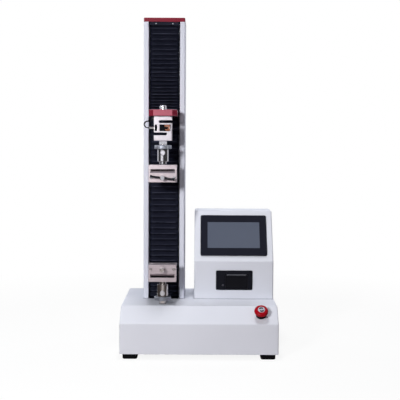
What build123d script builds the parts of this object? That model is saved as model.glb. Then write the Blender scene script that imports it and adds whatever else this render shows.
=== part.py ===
from build123d import *
import math
import os

# Desktop single-column universal testing machine, in millimetres.
# +Z is up, the operator stands on the -Y side, +X is to the right.
# The origin is on the floor, in the middle of the footprint.

# Base housing
BASE_FRONT = -178.3
BASE_REAR = 179.7
BASE_W = 450.0
BASE_H = 130.0
SLOPE_RUN = 50.0
SLOPE_DROP = 43.0
SHEET = 2.0
BEND_R = 6.0
EDGE_R = 4.0
FLOOR_PLATE_T = 4.0
SLIP = 0.2
LOUVRE_COUNT = 9
LOUVRE_W = 5.0
LOUVRE_H = 40.0
LOUVRE_PITCH = 14.0
LOUVRE_OFFSET = 46.5

# Rubber feet
FOOT_H = 15.0
FOOT_W = 42.0
FOOT_R = 7.0
FOOT_TREAD_R = 3.0
FOOT_INSET_X = 29.0
FOOT_INSET_Y = 26.0

# Bed casting under the deck
BED_W = 200.0
BED_FRONT = -125.0
BED_REAR = 150.0
BED_T = 20.0
BED_LEG_D = 32.0
BED_LEG_INSET = 18.0

# Column
AXIS_INSET = 118.5
COL_FRONT = -16.0
COL_REAR = 150.0
COL_W = 122.0
COL_H = 823.0
SIDE_W = 15.0
SIDE_WALL = 2.5
SIDE_R = 2.5
TRACK_W = 6.0
TRACK_DEPTH = 4.0
CAP_T = 12.0
CAP_BEVEL = 1.5

# Column core, guide rails and ball screw
CORE_FRONT = 32.0
CORE_D = 70.0
CHANNEL_W = 36.0
CHANNEL_D = 48.0
RAIL_W = 12.0
RAIL_H = 8.0
RAIL_X = 32.0
RAIL_END = 38.0
BLOCK_W = 27.0
BLOCK_L = 45.0
BLOCK_LIFT = 13.0
BLOCK_FOOT = 3.0
BLOCK_SPREAD = 28.0
GUIDE_GAP = 0.3
SCREW_D = 16.0
JOURNAL_D = 12.0
JOURNAL_CLEAR = 2.0
SCREW_STANDOFF = 19.0
NUT_W = 32.0
NUT_H = 50.0
BEARING_W = 34.0
BEARING_H = 20.0
BEARING_CLEAR = 2.0
RUN_FIT = 0.05

# Belt drive in the base
PULLEY_D = 40.0
PULLEY_H = 16.0
PULLEY_FLANGE = 2.5
PULLEY_DROP = 4.0
BELT_T = 2.0
BELT_GAP = 0.3
MOTOR_OFFSET = 95.0
MOTOR_W = 80.0
MOTOR_DROP = 4.0
SPIGOT_H = 2.0
SHAFT_D = 14.0
SHAFT_GAP = 0.5

# Pleated bellows
BELLOWS_SIDE = 3.0
PLEAT_FRONT = -13.0
PLEAT_BACK = 1.0
PLEAT_WALL = 1.2
BELLOWS_FLANGE = 2.0
BELLOWS_TAB = 10.0
BELLOWS_GAP = 0.4
UPPER_PLEATS = 21
UPPER_PITCH_RATIO = 2.2
LOWER_PLEATS = 31
LOWER_PITCH_RATIO = 1.4
BELLOWS_SCREW_X = 25.0
BELLOWS_SCREW_D = 6.0
BELLOWS_SCREW_H = 2.0

# Crosshead
ARM_RISE = 561.5
ARM_T = 18.5
ARM_SIDE = 5.0
ARM_FRONT = -121.0
ARM_CORNER = 14.0
ARM_EDGE = 1.2
CARRIAGE_FRONT = 5.0
CARRIAGE_SIDE = 2.0
CARRIAGE_H = 120.0
ARM_BOLT_D = 8.0
ARM_BOLT_X = 28.0
ARM_BOLT_HEAD_D = 13.0
ARM_BOLT_HEAD_H = 8.0
BOLT_FIT = 0.1

# Load cell on the test axis
AXIS_Y = -96.5
CELL_W = 52.0
CELL_H = 70.0
CELL_T = 25.0
CELL_TOP_BAR = 12.0
CELL_BOTTOM_BAR = 15.0
CELL_SLOT_H = 8.0
CELL_SLOT_END = 12.0
CELL_STRIP = 6.75
CELL_WINDOW_EDGE = 4.0
CELL_WINDOW_D = 8.0
CELL_POCKET_W = 7.0
CELL_RIM = 2.5
CELL_SCREW_D = 12.0
CELL_HEAD_D = 18.0
CELL_HEAD_H = 12.5
CELL_THREAD = 9.0
GLAND_D = 8.6
GLAND_L = 14.0
CABLE_D = 4.0

# Coupling between the load cell or the deck and a grip
STUD_D = 12.0
STUD_THREAD = 12.0
HEX_AF = 19.0
UPPER_HEX_H = 13.0
LOWER_HEX_H = 11.0
RING_D = 49.0
RING_H = 11.0
RING_NOTCHES = 30
RING_NOTCH_R = 1.4
RING_BEVEL = 1.2
TENON_D = 20.0
TENON_L = 24.0
SOCKET_D = 32.0
SOCKET_L = 36.0
SOCKET_BEVEL = 1.0
NECK_L = 9.0
PIN_D = 10.0
PIN_HEAD_D = 14.5
PIN_HEAD_L = 3.5
PIN_DEPTH = 11.0

# Screw-clamp grip, the same one above and below
GRIP_W = 80.0
GRIP_D = 50.0
GRIP_H = 50.0
GRIP_WEB = 12.5
STUB_FLOOR = 2.0
GRIP_WALL = 11.7
GRIP_EDGE = 0.8
WINDOW_END = 5.0
WINDOW_H = 5.0
WINDOW_BEVEL_H = 6.5
WINDOW_BEVEL_D = 5.0
JAW_CLEAR = 0.3
JAW_GAP = 6.0
JAW_T = 8.0
JAW_FLOOR = 7.5
JAW_SIDE = 1.0
TOOTH_PITCH = 2.5
TOOTH_DEPTH = 0.8
CLAMP_DROP = 13.0
ROD_INSET = 7.0
ROD_D = 8.0
ROD_SEAT = 5.0
ROD_PROUD = 3.0
CLAMP_D = 10.0
CLAMP_SEAT = 5.0
CLAMP_HEAD_D = 14.0
CLAMP_HEAD_L = 14.0
CLAMP_HEAD_GAP = 6.5
CROSS_HOLE_D = 6.4
BAR_D = 6.0
BAR_L = 70.0
BAR_END_D = 8.0
BAR_END_L = 4.0
BAR_TILT = 7.5

# Control box on the deck
BOX_GAP = 30.0
BOX_INSET = 3.0
BOX_FRONT = -16.0
BOX_REAR = 173.0
BOX_FACE_H = 114.0
BOX_TOP_H = 259.5
BOX_SETBACK = 92.0
BOX_BEND_R = 4.0
CABLE_HOLE_D = 40.0

# Touch panel on the inclined face
PANEL_SIDE = 18.75
PANEL_H = 136.0
PANEL_PROUD = 5.0
PANEL_R = 5.0
GLASS_SIDE = 21.0
GLASS_H = 88.0
GLASS_T = 2.0
GLASS_SINK = 0.8
GLASS_LIP = 2.0
PANEL_BACK_EDGE = 7.0
PANEL_BACK_D = 32.0
CUTOUT_GAP = 1.0

# Panel printer on the upright face
PRINTER_OFFSET = 1.25
PRINTER_RISE = 57.0
PRINTER_W = 109.0
PRINTER_H = 58.0
PRINTER_PROUD = 3.0
PRINTER_R = 3.0
LID_OFFSET = 7.0
LID_W = 67.0
LID_H = 38.5
LID_SILL = 4.0
LID_T = 4.0
LID_PROUD = 0.5
LID_GAP = 0.4
PAPER_SLIT = 2.5
BAY_D = 55.0
BAY_WALL = 2.0
BAY_H = 52.0
ROLLER_D = 9.0
ROLLER_L = 58.0
ROLLER_PIN_D = 3.0
ROLLER_PIN_L = 2.0
ROLLER_DROP = 8.0
ROLLER_GAP = 1.0
EAR_T = 2.4
EAR_R = 4.0
BUTTON_OFFSET = 34.0
BUTTON_DROP = 14.5
BUTTON_D = 6.0
BUTTON_PROUD = 1.5
BUTTON_L = 10.0

# Emergency stop on the sloped panel
ESTOP_INSET = 49.0
ESTOP_COLLAR_D = 29.0
ESTOP_COLLAR_H = 4.0
ESTOP_BARREL_D = 22.0
ESTOP_BARREL_L = 30.0
ESTOP_STEM_D = 16.0
ESTOP_HEAD_D = 40.0
ESTOP_HEAD_LOW = 10.0
ESTOP_HEAD_H = 15.0
ESTOP_FACE_D = 24.0
ESTOP_SEAT = 5.0

# Power inlet with a rocker switch on the rear wall
INLET_INSET = 75.0
INLET_RISE = 60.0
INLET_W = 54.0
INLET_H = 32.0
INLET_PROUD = 2.0
INLET_BODY_D = 26.0
INLET_RIM = 4.0
SOCKET_W = 24.0
SOCKET_H = 17.0
SOCKET_DEPTH = 17.0
BLADE_L = 9.0
BLADE_W = 2.0
BLADE_H = 4.5
BLADE_PITCH = 7.0
ROCKER_W = 12.0
ROCKER_H = 18.0
ROCKER_GAP = 0.4
ROCKER_PIVOT = 6.5
ROCKER_SINK = 1.5
ROCKER_TILT = 8.0

# Widths and places that follow
AXIS_X = -BASE_W / 2 + AXIS_INSET
LOUVRE_X = AXIS_X + LOUVRE_OFFSET
INLET_X = BASE_W / 2 - INLET_INSET
ESTOP_X = BASE_W / 2 - ESTOP_INSET
COL_INSIDE = COL_W - 2 * SIDE_W
BELLOWS_W = COL_INSIDE - 2 * BELLOWS_SIDE
ARM_W = COL_INSIDE - 2 * ARM_SIDE
CARRIAGE_W = COL_INSIDE - 2 * CARRIAGE_SIDE
CELL_WINDOW_W = CELL_W - CELL_POCKET_W - 2.5 * CELL_RIM - CELL_STRIP
WINDOW_W = GRIP_W - 2 * WINDOW_END
ROD_X = GRIP_W / 2 - ROD_INSET
BOX_W = BASE_W - AXIS_INSET - COL_W / 2 - BOX_GAP - BOX_INSET
BOX_X = BASE_W / 2 - BOX_INSET - BOX_W / 2
PANEL_W = BOX_W - 2 * PANEL_SIDE
GLASS_W = PANEL_W - 2 * GLASS_SIDE
PANEL_BACK_W = PANEL_W - 2 * PANEL_BACK_EDGE
PANEL_BACK_H = PANEL_H - 2 * PANEL_BACK_EDGE
PRINTER_X = BOX_X + PRINTER_OFFSET
LID_X = PRINTER_X + LID_OFFSET
BUTTON_X = PRINTER_X - BUTTON_OFFSET

# Heights and depths that follow
DECK_Z = FOOT_H + BASE_H
INLET_Z = FOOT_H + INLET_RISE
PRINTER_Z = DECK_Z + PRINTER_RISE
LID_BOTTOM = PRINTER_Z - PRINTER_H / 2 + LID_SILL
LID_TOP = LID_BOTTOM + LID_H
BUTTON_Z = PRINTER_Z - BUTTON_DROP
COL_TOP = DECK_Z + COL_H
ARM_TOP = DECK_Z + ARM_RISE
ARM_BOTTOM = ARM_TOP - ARM_T
CARRIAGE_MID = ARM_TOP - ARM_T / 2
CARRIAGE_BACK = CORE_FRONT - BLOCK_LIFT
SCREW_Y = CARRIAGE_BACK + SCREW_STANDOFF
BED_TOP = DECK_Z - SHEET
BED_BOTTOM = BED_TOP - BED_T
FLOOR_PLATE_TOP = FOOT_H + FLOOR_PLATE_T
PULLEY_TOP = BED_BOTTOM - PULLEY_DROP
PULLEY_BOTTOM = PULLEY_TOP - PULLEY_H - 2 * PULLEY_FLANGE
MOTOR_TOP = PULLEY_BOTTOM - MOTOR_DROP
CELL_TOP = ARM_BOTTOM
CELL_BOTTOM = CELL_TOP - CELL_H
CELL_MID = CELL_BOTTOM + CELL_BOTTOM_BAR + CELL_SLOT_H
CELL_MID_H = CELL_H - CELL_TOP_BAR - CELL_BOTTOM_BAR - 2 * CELL_SLOT_H
CELL_WINDOW_H = CELL_MID_H - 2 * CELL_WINDOW_EDGE
GLAND_Z = CELL_MID + CELL_MID_H / 2
UPPER_RING_TOP = CELL_BOTTOM - UPPER_HEX_H
UPPER_GRIP_TOP = UPPER_RING_TOP - RING_H - SOCKET_L - NECK_L
LOWER_RING_BOTTOM = DECK_Z + LOWER_HEX_H
LOWER_GRIP_BOTTOM = LOWER_RING_BOTTOM + RING_H + SOCKET_L + NECK_L
SOCKET_STUB_L = GRIP_WEB - STUB_FLOOR
CAVITY_FRONT = -GRIP_D / 2 + GRIP_WALL
JAW_H = GRIP_H - GRIP_WEB - JAW_FLOOR
CLAMP_Z = GRIP_H - CLAMP_DROP
JAW_BACK_Y = CAVITY_FRONT + JAW_CLEAR + JAW_T
JAW_FACE_Y = JAW_BACK_Y + JAW_GAP
LID_HINGE_Y = BOX_FRONT - PRINTER_PROUD - LID_PROUD + LID_T / 2
LID_HINGE_Z = LID_BOTTOM + LID_T / 2
ROLLER_Z = LID_TOP - ROLLER_DROP
ROLLER_Y = LID_HINGE_Y + LID_T / 2 + ROLLER_D / 2 + ROLLER_GAP


def block(x0, x1, y0, y1, z0, z1):
    """Box between two corners."""
    return Pos((x0 + x1) / 2, (y0 + y1) / 2, (z0 + z1) / 2) * Box(x1 - x0, y1 - y0, z1 - z0)


def rod_z(x, y, z0, z1, d):
    """Upright cylinder."""
    return Pos(x, y, (z0 + z1) / 2) * Cylinder(d / 2, z1 - z0)


def rod_y(x, z, y0, y1, d):
    """Cylinder that runs front to back."""
    return Pos(x, (y0 + y1) / 2, z) * Rot(90, 0, 0) * Cylinder(d / 2, y1 - y0)


def rod_x(y, z, x0, x1, d):
    """Cylinder that runs from left to right."""
    return Pos((x0 + x1) / 2, y, z) * Rot(0, 90, 0) * Cylinder(d / 2, x1 - x0)


def side_profile(points, rounded, radius):
    """Closed outline in the YZ plane with some of its corners rounded."""
    face = make_face(Polyline(*points, close=True))
    corners = [v for v in face.vertices() if any(abs(v.X - points[i][0]) + abs(v.Y - points[i][1]) < 0.01
                                                 for i in rounded)]
    return fillet(corners, radius)


def across(profile, x, width):
    """A YZ outline drawn out to a width, centred on x."""
    return Pos(x, 0, 0) * extrude(Plane.YZ * profile, amount=width / 2, both=True)


def folded_shell(points, rounded, radius, x, width):
    """Sheet-metal box bent from a YZ outline, open at the bottom."""
    outline = side_profile(points, rounded, radius)
    outer = across(outline, x, width)
    floor_z = min(p[1] for p in points)
    rims = [e for f in outer.faces() if abs(f.normal_at().X) > 0.99
            for e in f.edges() if e.center().Z > floor_z + 0.01]
    rims = [e for e in rims if e.bounding_box().min.Z > floor_z + 0.01 or e.length > radius * 4]
    outer = fillet(rims, EDGE_R)
    inner = across(offset(outline, -SHEET), x, width - 2 * SHEET)
    mouth = inner.bounding_box()
    opening = block(mouth.min.X, mouth.max.X, mouth.min.Y, mouth.max.Y, floor_z - 1, floor_z + SHEET + 1)
    return outer - inner - opening


def slope_plane(x):
    """Frame on the sloped panel, its z axis out of the panel."""
    mid_y = BASE_FRONT + SLOPE_RUN / 2
    mid_z = DECK_Z - SLOPE_DROP / 2
    return Plane(origin=(x, mid_y, mid_z), x_dir=(1, 0, 0), z_dir=(0, -SLOPE_DROP, SLOPE_RUN))


def screen_plane():
    """Frame in the middle of the inclined face, its z axis out of the face."""
    rise = BOX_TOP_H - BOX_FACE_H
    mid_y = BOX_FRONT + BOX_SETBACK / 2
    mid_z = DECK_Z + BOX_FACE_H + rise / 2
    return Plane(origin=(BOX_X, mid_y, mid_z), x_dir=(1, 0, 0), z_dir=(0, -rise, BOX_SETBACK))


def base_housing():
    """Folded housing with the sloped operator panel and the flat deck."""
    points = [
        (BASE_FRONT, FOOT_H),
        (BASE_FRONT, DECK_Z - SLOPE_DROP),
        (BASE_FRONT + SLOPE_RUN, DECK_Z),
        (BASE_REAR, DECK_Z),
        (BASE_REAR, FOOT_H),
    ]
    shell = folded_shell(points, [1, 2, 3], BEND_R, 0, BASE_W)
    shell -= slope_plane(ESTOP_X).location * Cylinder(ESTOP_BARREL_D / 2 + SLIP, 6 * SHEET)
    shell -= rod_z(AXIS_X, AXIS_Y, BED_TOP - 1, DECK_Z + 1, STUD_D + 2 * SLIP)
    shell -= rod_z(AXIS_X, SCREW_Y, BED_TOP - 1, DECK_Z + 1, SCREW_D + 4 * SLIP)
    shell -= rod_z(BOX_X, BOX_REAR - CABLE_HOLE_D, BED_TOP - 1, DECK_Z + 1, CABLE_HOLE_D)
    body_w = INLET_W - 2 * INLET_RIM + 2 * SLIP
    body_h = INLET_H - 2 * INLET_RIM + 2 * SLIP
    shell -= Pos(INLET_X, BASE_REAR, INLET_Z) * Box(body_w, 6 * SHEET, body_h)
    for i in range(LOUVRE_COUNT):
        x = LOUVRE_X + (i - (LOUVRE_COUNT - 1) / 2) * LOUVRE_PITCH
        slot = Rot(90, 0, 0) * extrude(SlotOverall(LOUVRE_H, LOUVRE_W, rotation=90), 3 * SHEET, both=True)
        shell -= Pos(x, BASE_REAR, INLET_Z) * slot
    return shell


def base_plate():
    """Floor of the base, inside the housing walls."""
    x = BASE_W / 2 - SHEET - SLIP
    return block(-x, x, BASE_FRONT + SHEET + SLIP, BASE_REAR - SHEET - SLIP, FOOT_H, FLOOR_PLATE_TOP)


def feet():
    """Four moulded rubber blocks with round corners and a rounded tread."""
    foot = extrude(RectangleRounded(FOOT_W, FOOT_W, FOOT_R), FOOT_H)
    foot = fillet(foot.faces().sort_by(Axis.Z)[0].edges(), FOOT_TREAD_R)
    x = BASE_W / 2 - FOOT_INSET_X
    spots = [(sx * x, y) for sx in (-1, 1) for y in (BASE_FRONT + FOOT_INSET_Y, BASE_REAR - FOOT_INSET_Y)]
    return [Pos(px, py, 0) * foot for px, py in spots]


def bed_casting():
    """Thick bed under the deck on four integral legs; it carries the column and the lower grip."""
    bed = block(AXIS_X - BED_W / 2, AXIS_X + BED_W / 2, BED_FRONT, BED_REAR, BED_BOTTOM, BED_TOP)
    for sx in (-1, 1):
        for y in (BED_FRONT + BED_LEG_INSET, BED_REAR - BED_LEG_INSET):
            x = AXIS_X + sx * (BED_W / 2 - BED_LEG_INSET)
            bed += rod_z(x, y, FLOOR_PLATE_TOP, BED_BOTTOM, BED_LEG_D)
    bed -= rod_z(AXIS_X, AXIS_Y, BED_BOTTOM - 1, BED_TOP + 1, STUD_D + 2 * RUN_FIT)
    bed -= rod_z(AXIS_X, SCREW_Y, BED_BOTTOM - 1, BED_TOP + 1, JOURNAL_D + 2 * JOURNAL_CLEAR)
    return bed


def column_side(sx):
    """Hollow side profile of the column with a track for the bellows edge."""
    inner = COL_W / 2 - SIDE_W
    outline = Rectangle(SIDE_W, COL_REAR - SHEET - COL_FRONT, align=(Align.MIN, Align.MIN))
    outline = fillet(outline.vertices(), SIDE_R)
    hollow = Pos(SIDE_WALL + TRACK_DEPTH, SIDE_WALL) * Rectangle(
        SIDE_W - 2 * SIDE_WALL - TRACK_DEPTH, COL_REAR - SHEET - COL_FRONT - 2 * SIDE_WALL,
        align=(Align.MIN, Align.MIN))
    track_y = (PLEAT_FRONT + PLEAT_BACK) / 2 - COL_FRONT
    track = Pos(0, track_y) * Rectangle(TRACK_DEPTH, TRACK_W, align=(Align.MIN, Align.CENTER))
    profile = extrude(outline - hollow - track, COL_H)
    profile = Pos(inner, COL_FRONT, DECK_Z) * profile
    if sx < 0:
        profile = mirror(profile, Plane.YZ)
    return Pos(AXIS_X, 0, 0) * profile


def column_back():
    """Rear cover sheet of the column."""
    return block(AXIS_X - COL_W / 2, AXIS_X + COL_W / 2, COL_REAR - SHEET, COL_REAR, DECK_Z, COL_TOP)


def column_core():
    """Upright channel that carries the rails on its two lands."""
    half = COL_W / 2 - SIDE_W
    core = block(AXIS_X - half, AXIS_X + half, CORE_FRONT, CORE_FRONT + CORE_D, DECK_Z, COL_TOP)
    core -= block(AXIS_X - CHANNEL_W / 2, AXIS_X + CHANNEL_W / 2, CORE_FRONT - 1, CORE_FRONT + CHANNEL_D,
                  DECK_Z - 1, COL_TOP + 1)
    return core


def top_cap():
    """Cap plate over the column."""
    cap = block(AXIS_X - COL_W / 2, AXIS_X + COL_W / 2, COL_FRONT, COL_REAR, COL_TOP, COL_TOP + CAP_T)
    cap = fillet(cap.edges().filter_by(Axis.Z), SIDE_R)
    return chamfer(cap.faces().sort_by(Axis.Z)[-1].edges(), CAP_BEVEL)


def guide_rails():
    """Two profiled rails with waisted flanks."""
    waist = RAIL_W / 6
    points = [
        (-RAIL_W / 2, 0),
        (-RAIL_W / 2, -RAIL_H / 3),
        (-RAIL_W / 2 + waist, -RAIL_H / 2),
        (-RAIL_W / 2, -2 * RAIL_H / 3),
        (-RAIL_W / 2, -RAIL_H),
        (RAIL_W / 2, -RAIL_H),
        (RAIL_W / 2, -2 * RAIL_H / 3),
        (RAIL_W / 2 - waist, -RAIL_H / 2),
        (RAIL_W / 2, -RAIL_H / 3),
        (RAIL_W / 2, 0),
    ]
    rail = extrude(make_face(Polyline(*points, close=True)), COL_H - 2 * RAIL_END)
    return [Pos(AXIS_X + sx * RAIL_X, CORE_FRONT, DECK_Z + RAIL_END) * rail for sx in (-1, 1)]


def guide_blocks():
    """Four bearing blocks that straddle the rails."""
    made = []
    for sx in (-1, 1):
        for sz in (-1, 1):
            x = AXIS_X + sx * RAIL_X
            z = CARRIAGE_MID + sz * BLOCK_SPREAD
            body = block(x - BLOCK_W / 2, x + BLOCK_W / 2, CARRIAGE_BACK, CORE_FRONT - BLOCK_FOOT,
                         z - BLOCK_L / 2, z + BLOCK_L / 2)
            groove = RAIL_W / 2 + GUIDE_GAP
            body -= block(x - groove, x + groove, CORE_FRONT - RAIL_H - GUIDE_GAP, CORE_FRONT,
                          z - BLOCK_L, z + BLOCK_L)
            made.append(body)
    return made


def lead_screw():
    """Ball screw with stepped journals at both ends."""
    low = DECK_Z + BEARING_H + GUIDE_GAP
    high = COL_TOP - RAIL_END - BEARING_H - GUIDE_GAP
    screw = rod_z(AXIS_X, SCREW_Y, low, high, SCREW_D)
    screw += rod_z(AXIS_X, SCREW_Y, PULLEY_BOTTOM, low, JOURNAL_D)
    screw += rod_z(AXIS_X, SCREW_Y, high, COL_TOP - RAIL_END, JOURNAL_D)
    return screw


def bearing(z0, back):
    """Bearing block for one end of the screw."""
    body = block(AXIS_X - BEARING_W / 2, AXIS_X + BEARING_W / 2, CARRIAGE_BACK + BEARING_CLEAR, back,
                 z0, z0 + BEARING_H)
    return body - rod_z(AXIS_X, SCREW_Y, z0 - 1, z0 + BEARING_H + 1, JOURNAL_D + 2 * RUN_FIT)


def ball_nut():
    """Square nut block on the carriage."""
    depth = 2 * (SCREW_Y - CARRIAGE_BACK)
    nut = block(AXIS_X - NUT_W / 2, AXIS_X + NUT_W / 2, CARRIAGE_BACK, CARRIAGE_BACK + depth,
                CARRIAGE_MID - NUT_H / 2, CARRIAGE_MID + NUT_H / 2)
    return nut - rod_z(AXIS_X, SCREW_Y, CARRIAGE_MID - NUT_H, CARRIAGE_MID + NUT_H, SCREW_D + 2 * RUN_FIT)


def pulley(x, bore):
    """Flanged belt pulley."""
    low = PULLEY_BOTTOM + PULLEY_FLANGE
    flange_d = PULLEY_D + 3 * BELT_T
    wheel = rod_z(x, SCREW_Y, low, low + PULLEY_H, PULLEY_D)
    wheel += rod_z(x, SCREW_Y, PULLEY_BOTTOM, low, flange_d)
    wheel += rod_z(x, SCREW_Y, low + PULLEY_H, PULLEY_TOP, flange_d)
    return wheel - rod_z(x, SCREW_Y, PULLEY_BOTTOM - 1, PULLEY_TOP + 1, bore + 2 * RUN_FIT)


def drive_belt():
    """Flat toothed-belt loop round the two pulleys."""
    inner = PULLEY_D / 2 + BELT_GAP
    low = PULLEY_BOTTOM + PULLEY_FLANGE + BELT_GAP
    loop = SlotCenterToCenter(MOTOR_OFFSET, 2 * (inner + BELT_T)) - SlotCenterToCenter(MOTOR_OFFSET, 2 * inner)
    return Pos(AXIS_X + MOTOR_OFFSET / 2, SCREW_Y, low) * extrude(loop, PULLEY_H - 2 * BELT_GAP)


def drive_motor():
    """Servo motor that stands on the floor plate under the belt."""
    x = AXIS_X + MOTOR_OFFSET
    half = MOTOR_W / 2
    body = block(x - half, x + half, SCREW_Y - half, SCREW_Y + half, FLOOR_PLATE_TOP, MOTOR_TOP)
    body = chamfer(body.edges().filter_by(Axis.Z), MOTOR_W / 8)
    return body + rod_z(x, SCREW_Y, MOTOR_TOP, MOTOR_TOP + SPIGOT_H, MOTOR_W / 2)


def motor_pulley():
    """Motor shaft with its pulley."""
    x = AXIS_X + MOTOR_OFFSET
    shaft = rod_z(x, SCREW_Y, MOTOR_TOP + SPIGOT_H + SHAFT_GAP, PULLEY_TOP, SHAFT_D + 2 * RUN_FIT)
    return pulley(x, SHAFT_D) + shaft


def bellows(z_wide, z_tight, pleats, ratio):
    """Pleated curtain whose pitch shrinks from the wide end to the tight end."""
    span = z_tight - z_wide
    weights = [ratio + (1 - ratio) * i / (pleats - 1) for i in range(pleats)]
    unit = span / sum(weights)
    front = []
    z = z_wide
    for w in weights:
        front.append((PLEAT_BACK, z))
        front.append((PLEAT_FRONT, z + w * unit / 2))
        z += w * unit
    front.append((PLEAT_BACK, z_tight))
    back = [(y + PLEAT_WALL, z) for y, z in reversed(front)]
    curtain = make_face(Polyline(*(front + back), close=True))
    return across(curtain, AXIS_X, BELLOWS_W)


def bellows_flange(z0, z1):
    """Stiff end strip of a bellows."""
    half = BELLOWS_W / 2
    return block(AXIS_X - half, AXIS_X + half, PLEAT_FRONT, PLEAT_BACK + PLEAT_WALL, z0, z1)


def bellows_upper():
    """Curtain from the cap down to the arm, with a screwed top strip."""
    top = COL_TOP - BELLOWS_TAB
    bottom = ARM_TOP + BELLOWS_GAP + BELLOWS_FLANGE
    curtain = bellows(top, bottom, UPPER_PLEATS, UPPER_PITCH_RATIO)
    curtain += bellows_flange(top, COL_TOP)
    return curtain + bellows_flange(ARM_TOP + BELLOWS_GAP, bottom)


def bellows_lower():
    """Curtain from the arm down to the deck."""
    top = ARM_BOTTOM - BELLOWS_GAP - BELLOWS_FLANGE
    bottom = DECK_Z + BELLOWS_FLANGE
    curtain = bellows(top, bottom, LOWER_PLEATS, LOWER_PITCH_RATIO)
    curtain += bellows_flange(top, ARM_BOTTOM - BELLOWS_GAP)
    return curtain + bellows_flange(DECK_Z, bottom)


def bellows_screws():
    """Two pan screws in the top strip."""
    z = COL_TOP - BELLOWS_TAB / 2
    front = PLEAT_FRONT - BELLOWS_SCREW_H
    return [rod_y(AXIS_X + sx * BELLOWS_SCREW_X, z, front, PLEAT_FRONT, BELLOWS_SCREW_D) for sx in (-1, 1)]


def carriage_plate():
    """Plate that joins the arm, the bearing blocks and the nut."""
    plate = block(AXIS_X - CARRIAGE_W / 2, AXIS_X + CARRIAGE_W / 2, CARRIAGE_FRONT, CARRIAGE_BACK,
                  CARRIAGE_MID - CARRIAGE_H / 2, CARRIAGE_MID + CARRIAGE_H / 2)
    for sx in (-1, 1):
        x = AXIS_X + sx * ARM_BOLT_X
        plate -= rod_y(x, CARRIAGE_MID, CARRIAGE_FRONT - 1, CARRIAGE_BACK + 1, ARM_BOLT_D + 2 * BOLT_FIT)
        plate -= rod_y(x, CARRIAGE_MID, CARRIAGE_BACK - ARM_BOLT_HEAD_H - BOLT_FIT, CARRIAGE_BACK + 1,
                       ARM_BOLT_HEAD_D + 2 * BOLT_FIT)
    return plate


def arm_bolts():
    """Two cap screws from the carriage into the rear end of the arm."""
    made = []
    for sx in (-1, 1):
        x = AXIS_X + sx * ARM_BOLT_X
        seat = CARRIAGE_BACK - ARM_BOLT_HEAD_H - BOLT_FIT
        bolt = rod_y(x, CARRIAGE_MID, seat, CARRIAGE_BACK - BOLT_FIT, ARM_BOLT_HEAD_D)
        made.append(bolt + rod_y(x, CARRIAGE_MID, CARRIAGE_FRONT - 2 * ARM_BOLT_D, seat, ARM_BOLT_D))
    return made


def crosshead_arm():
    """Cantilever arm with clipped front corners."""
    half = ARM_W / 2
    outline = [
        (-half, CARRIAGE_FRONT),
        (-half, ARM_FRONT + ARM_CORNER),
        (-half + ARM_CORNER, ARM_FRONT),
        (half - ARM_CORNER, ARM_FRONT),
        (half, ARM_FRONT + ARM_CORNER),
        (half, CARRIAGE_FRONT),
    ]
    arm = Pos(AXIS_X, 0, ARM_BOTTOM) * extrude(make_face(Polyline(*outline, close=True)), ARM_T)
    rims = [e for f in arm.faces().sort_by(Axis.Z)[::len(arm.faces()) - 1] for e in f.edges()
            if e.center().Y < CARRIAGE_FRONT - 1]
    arm = chamfer(rims, ARM_EDGE)
    arm -= rod_z(AXIS_X, AXIS_Y, ARM_BOTTOM - 1, ARM_TOP + 1, CELL_SCREW_D + 2 * BOLT_FIT)
    for sx in (-1, 1):
        arm -= rod_y(AXIS_X + sx * ARM_BOLT_X, CARRIAGE_MID, CARRIAGE_FRONT - 2 * ARM_BOLT_D - 1,
                     CARRIAGE_FRONT + 1, ARM_BOLT_D + 2 * BOLT_FIT)
    return arm


def socket_cut(x, y, z, d, depth):
    """Hexagon recess in the top of a cap screw."""
    return Pos(x, y, z - depth) * extrude(RegularPolygon(d / 2, 6), depth + 1)


def load_cell_screw():
    """Cap screw that hangs the load cell from the arm."""
    screw = rod_z(AXIS_X, AXIS_Y, ARM_TOP, ARM_TOP + CELL_HEAD_H, CELL_HEAD_D)
    screw = chamfer(screw.faces().sort_by(Axis.Z)[-1].edges(), CELL_HEAD_D / 18)
    screw += rod_z(AXIS_X, AXIS_Y, CELL_TOP - CELL_THREAD, ARM_TOP, CELL_SCREW_D)
    return screw - socket_cut(AXIS_X, AXIS_Y, ARM_TOP + CELL_HEAD_H, CELL_HEAD_D * 0.6, CELL_HEAD_H / 2)


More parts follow.
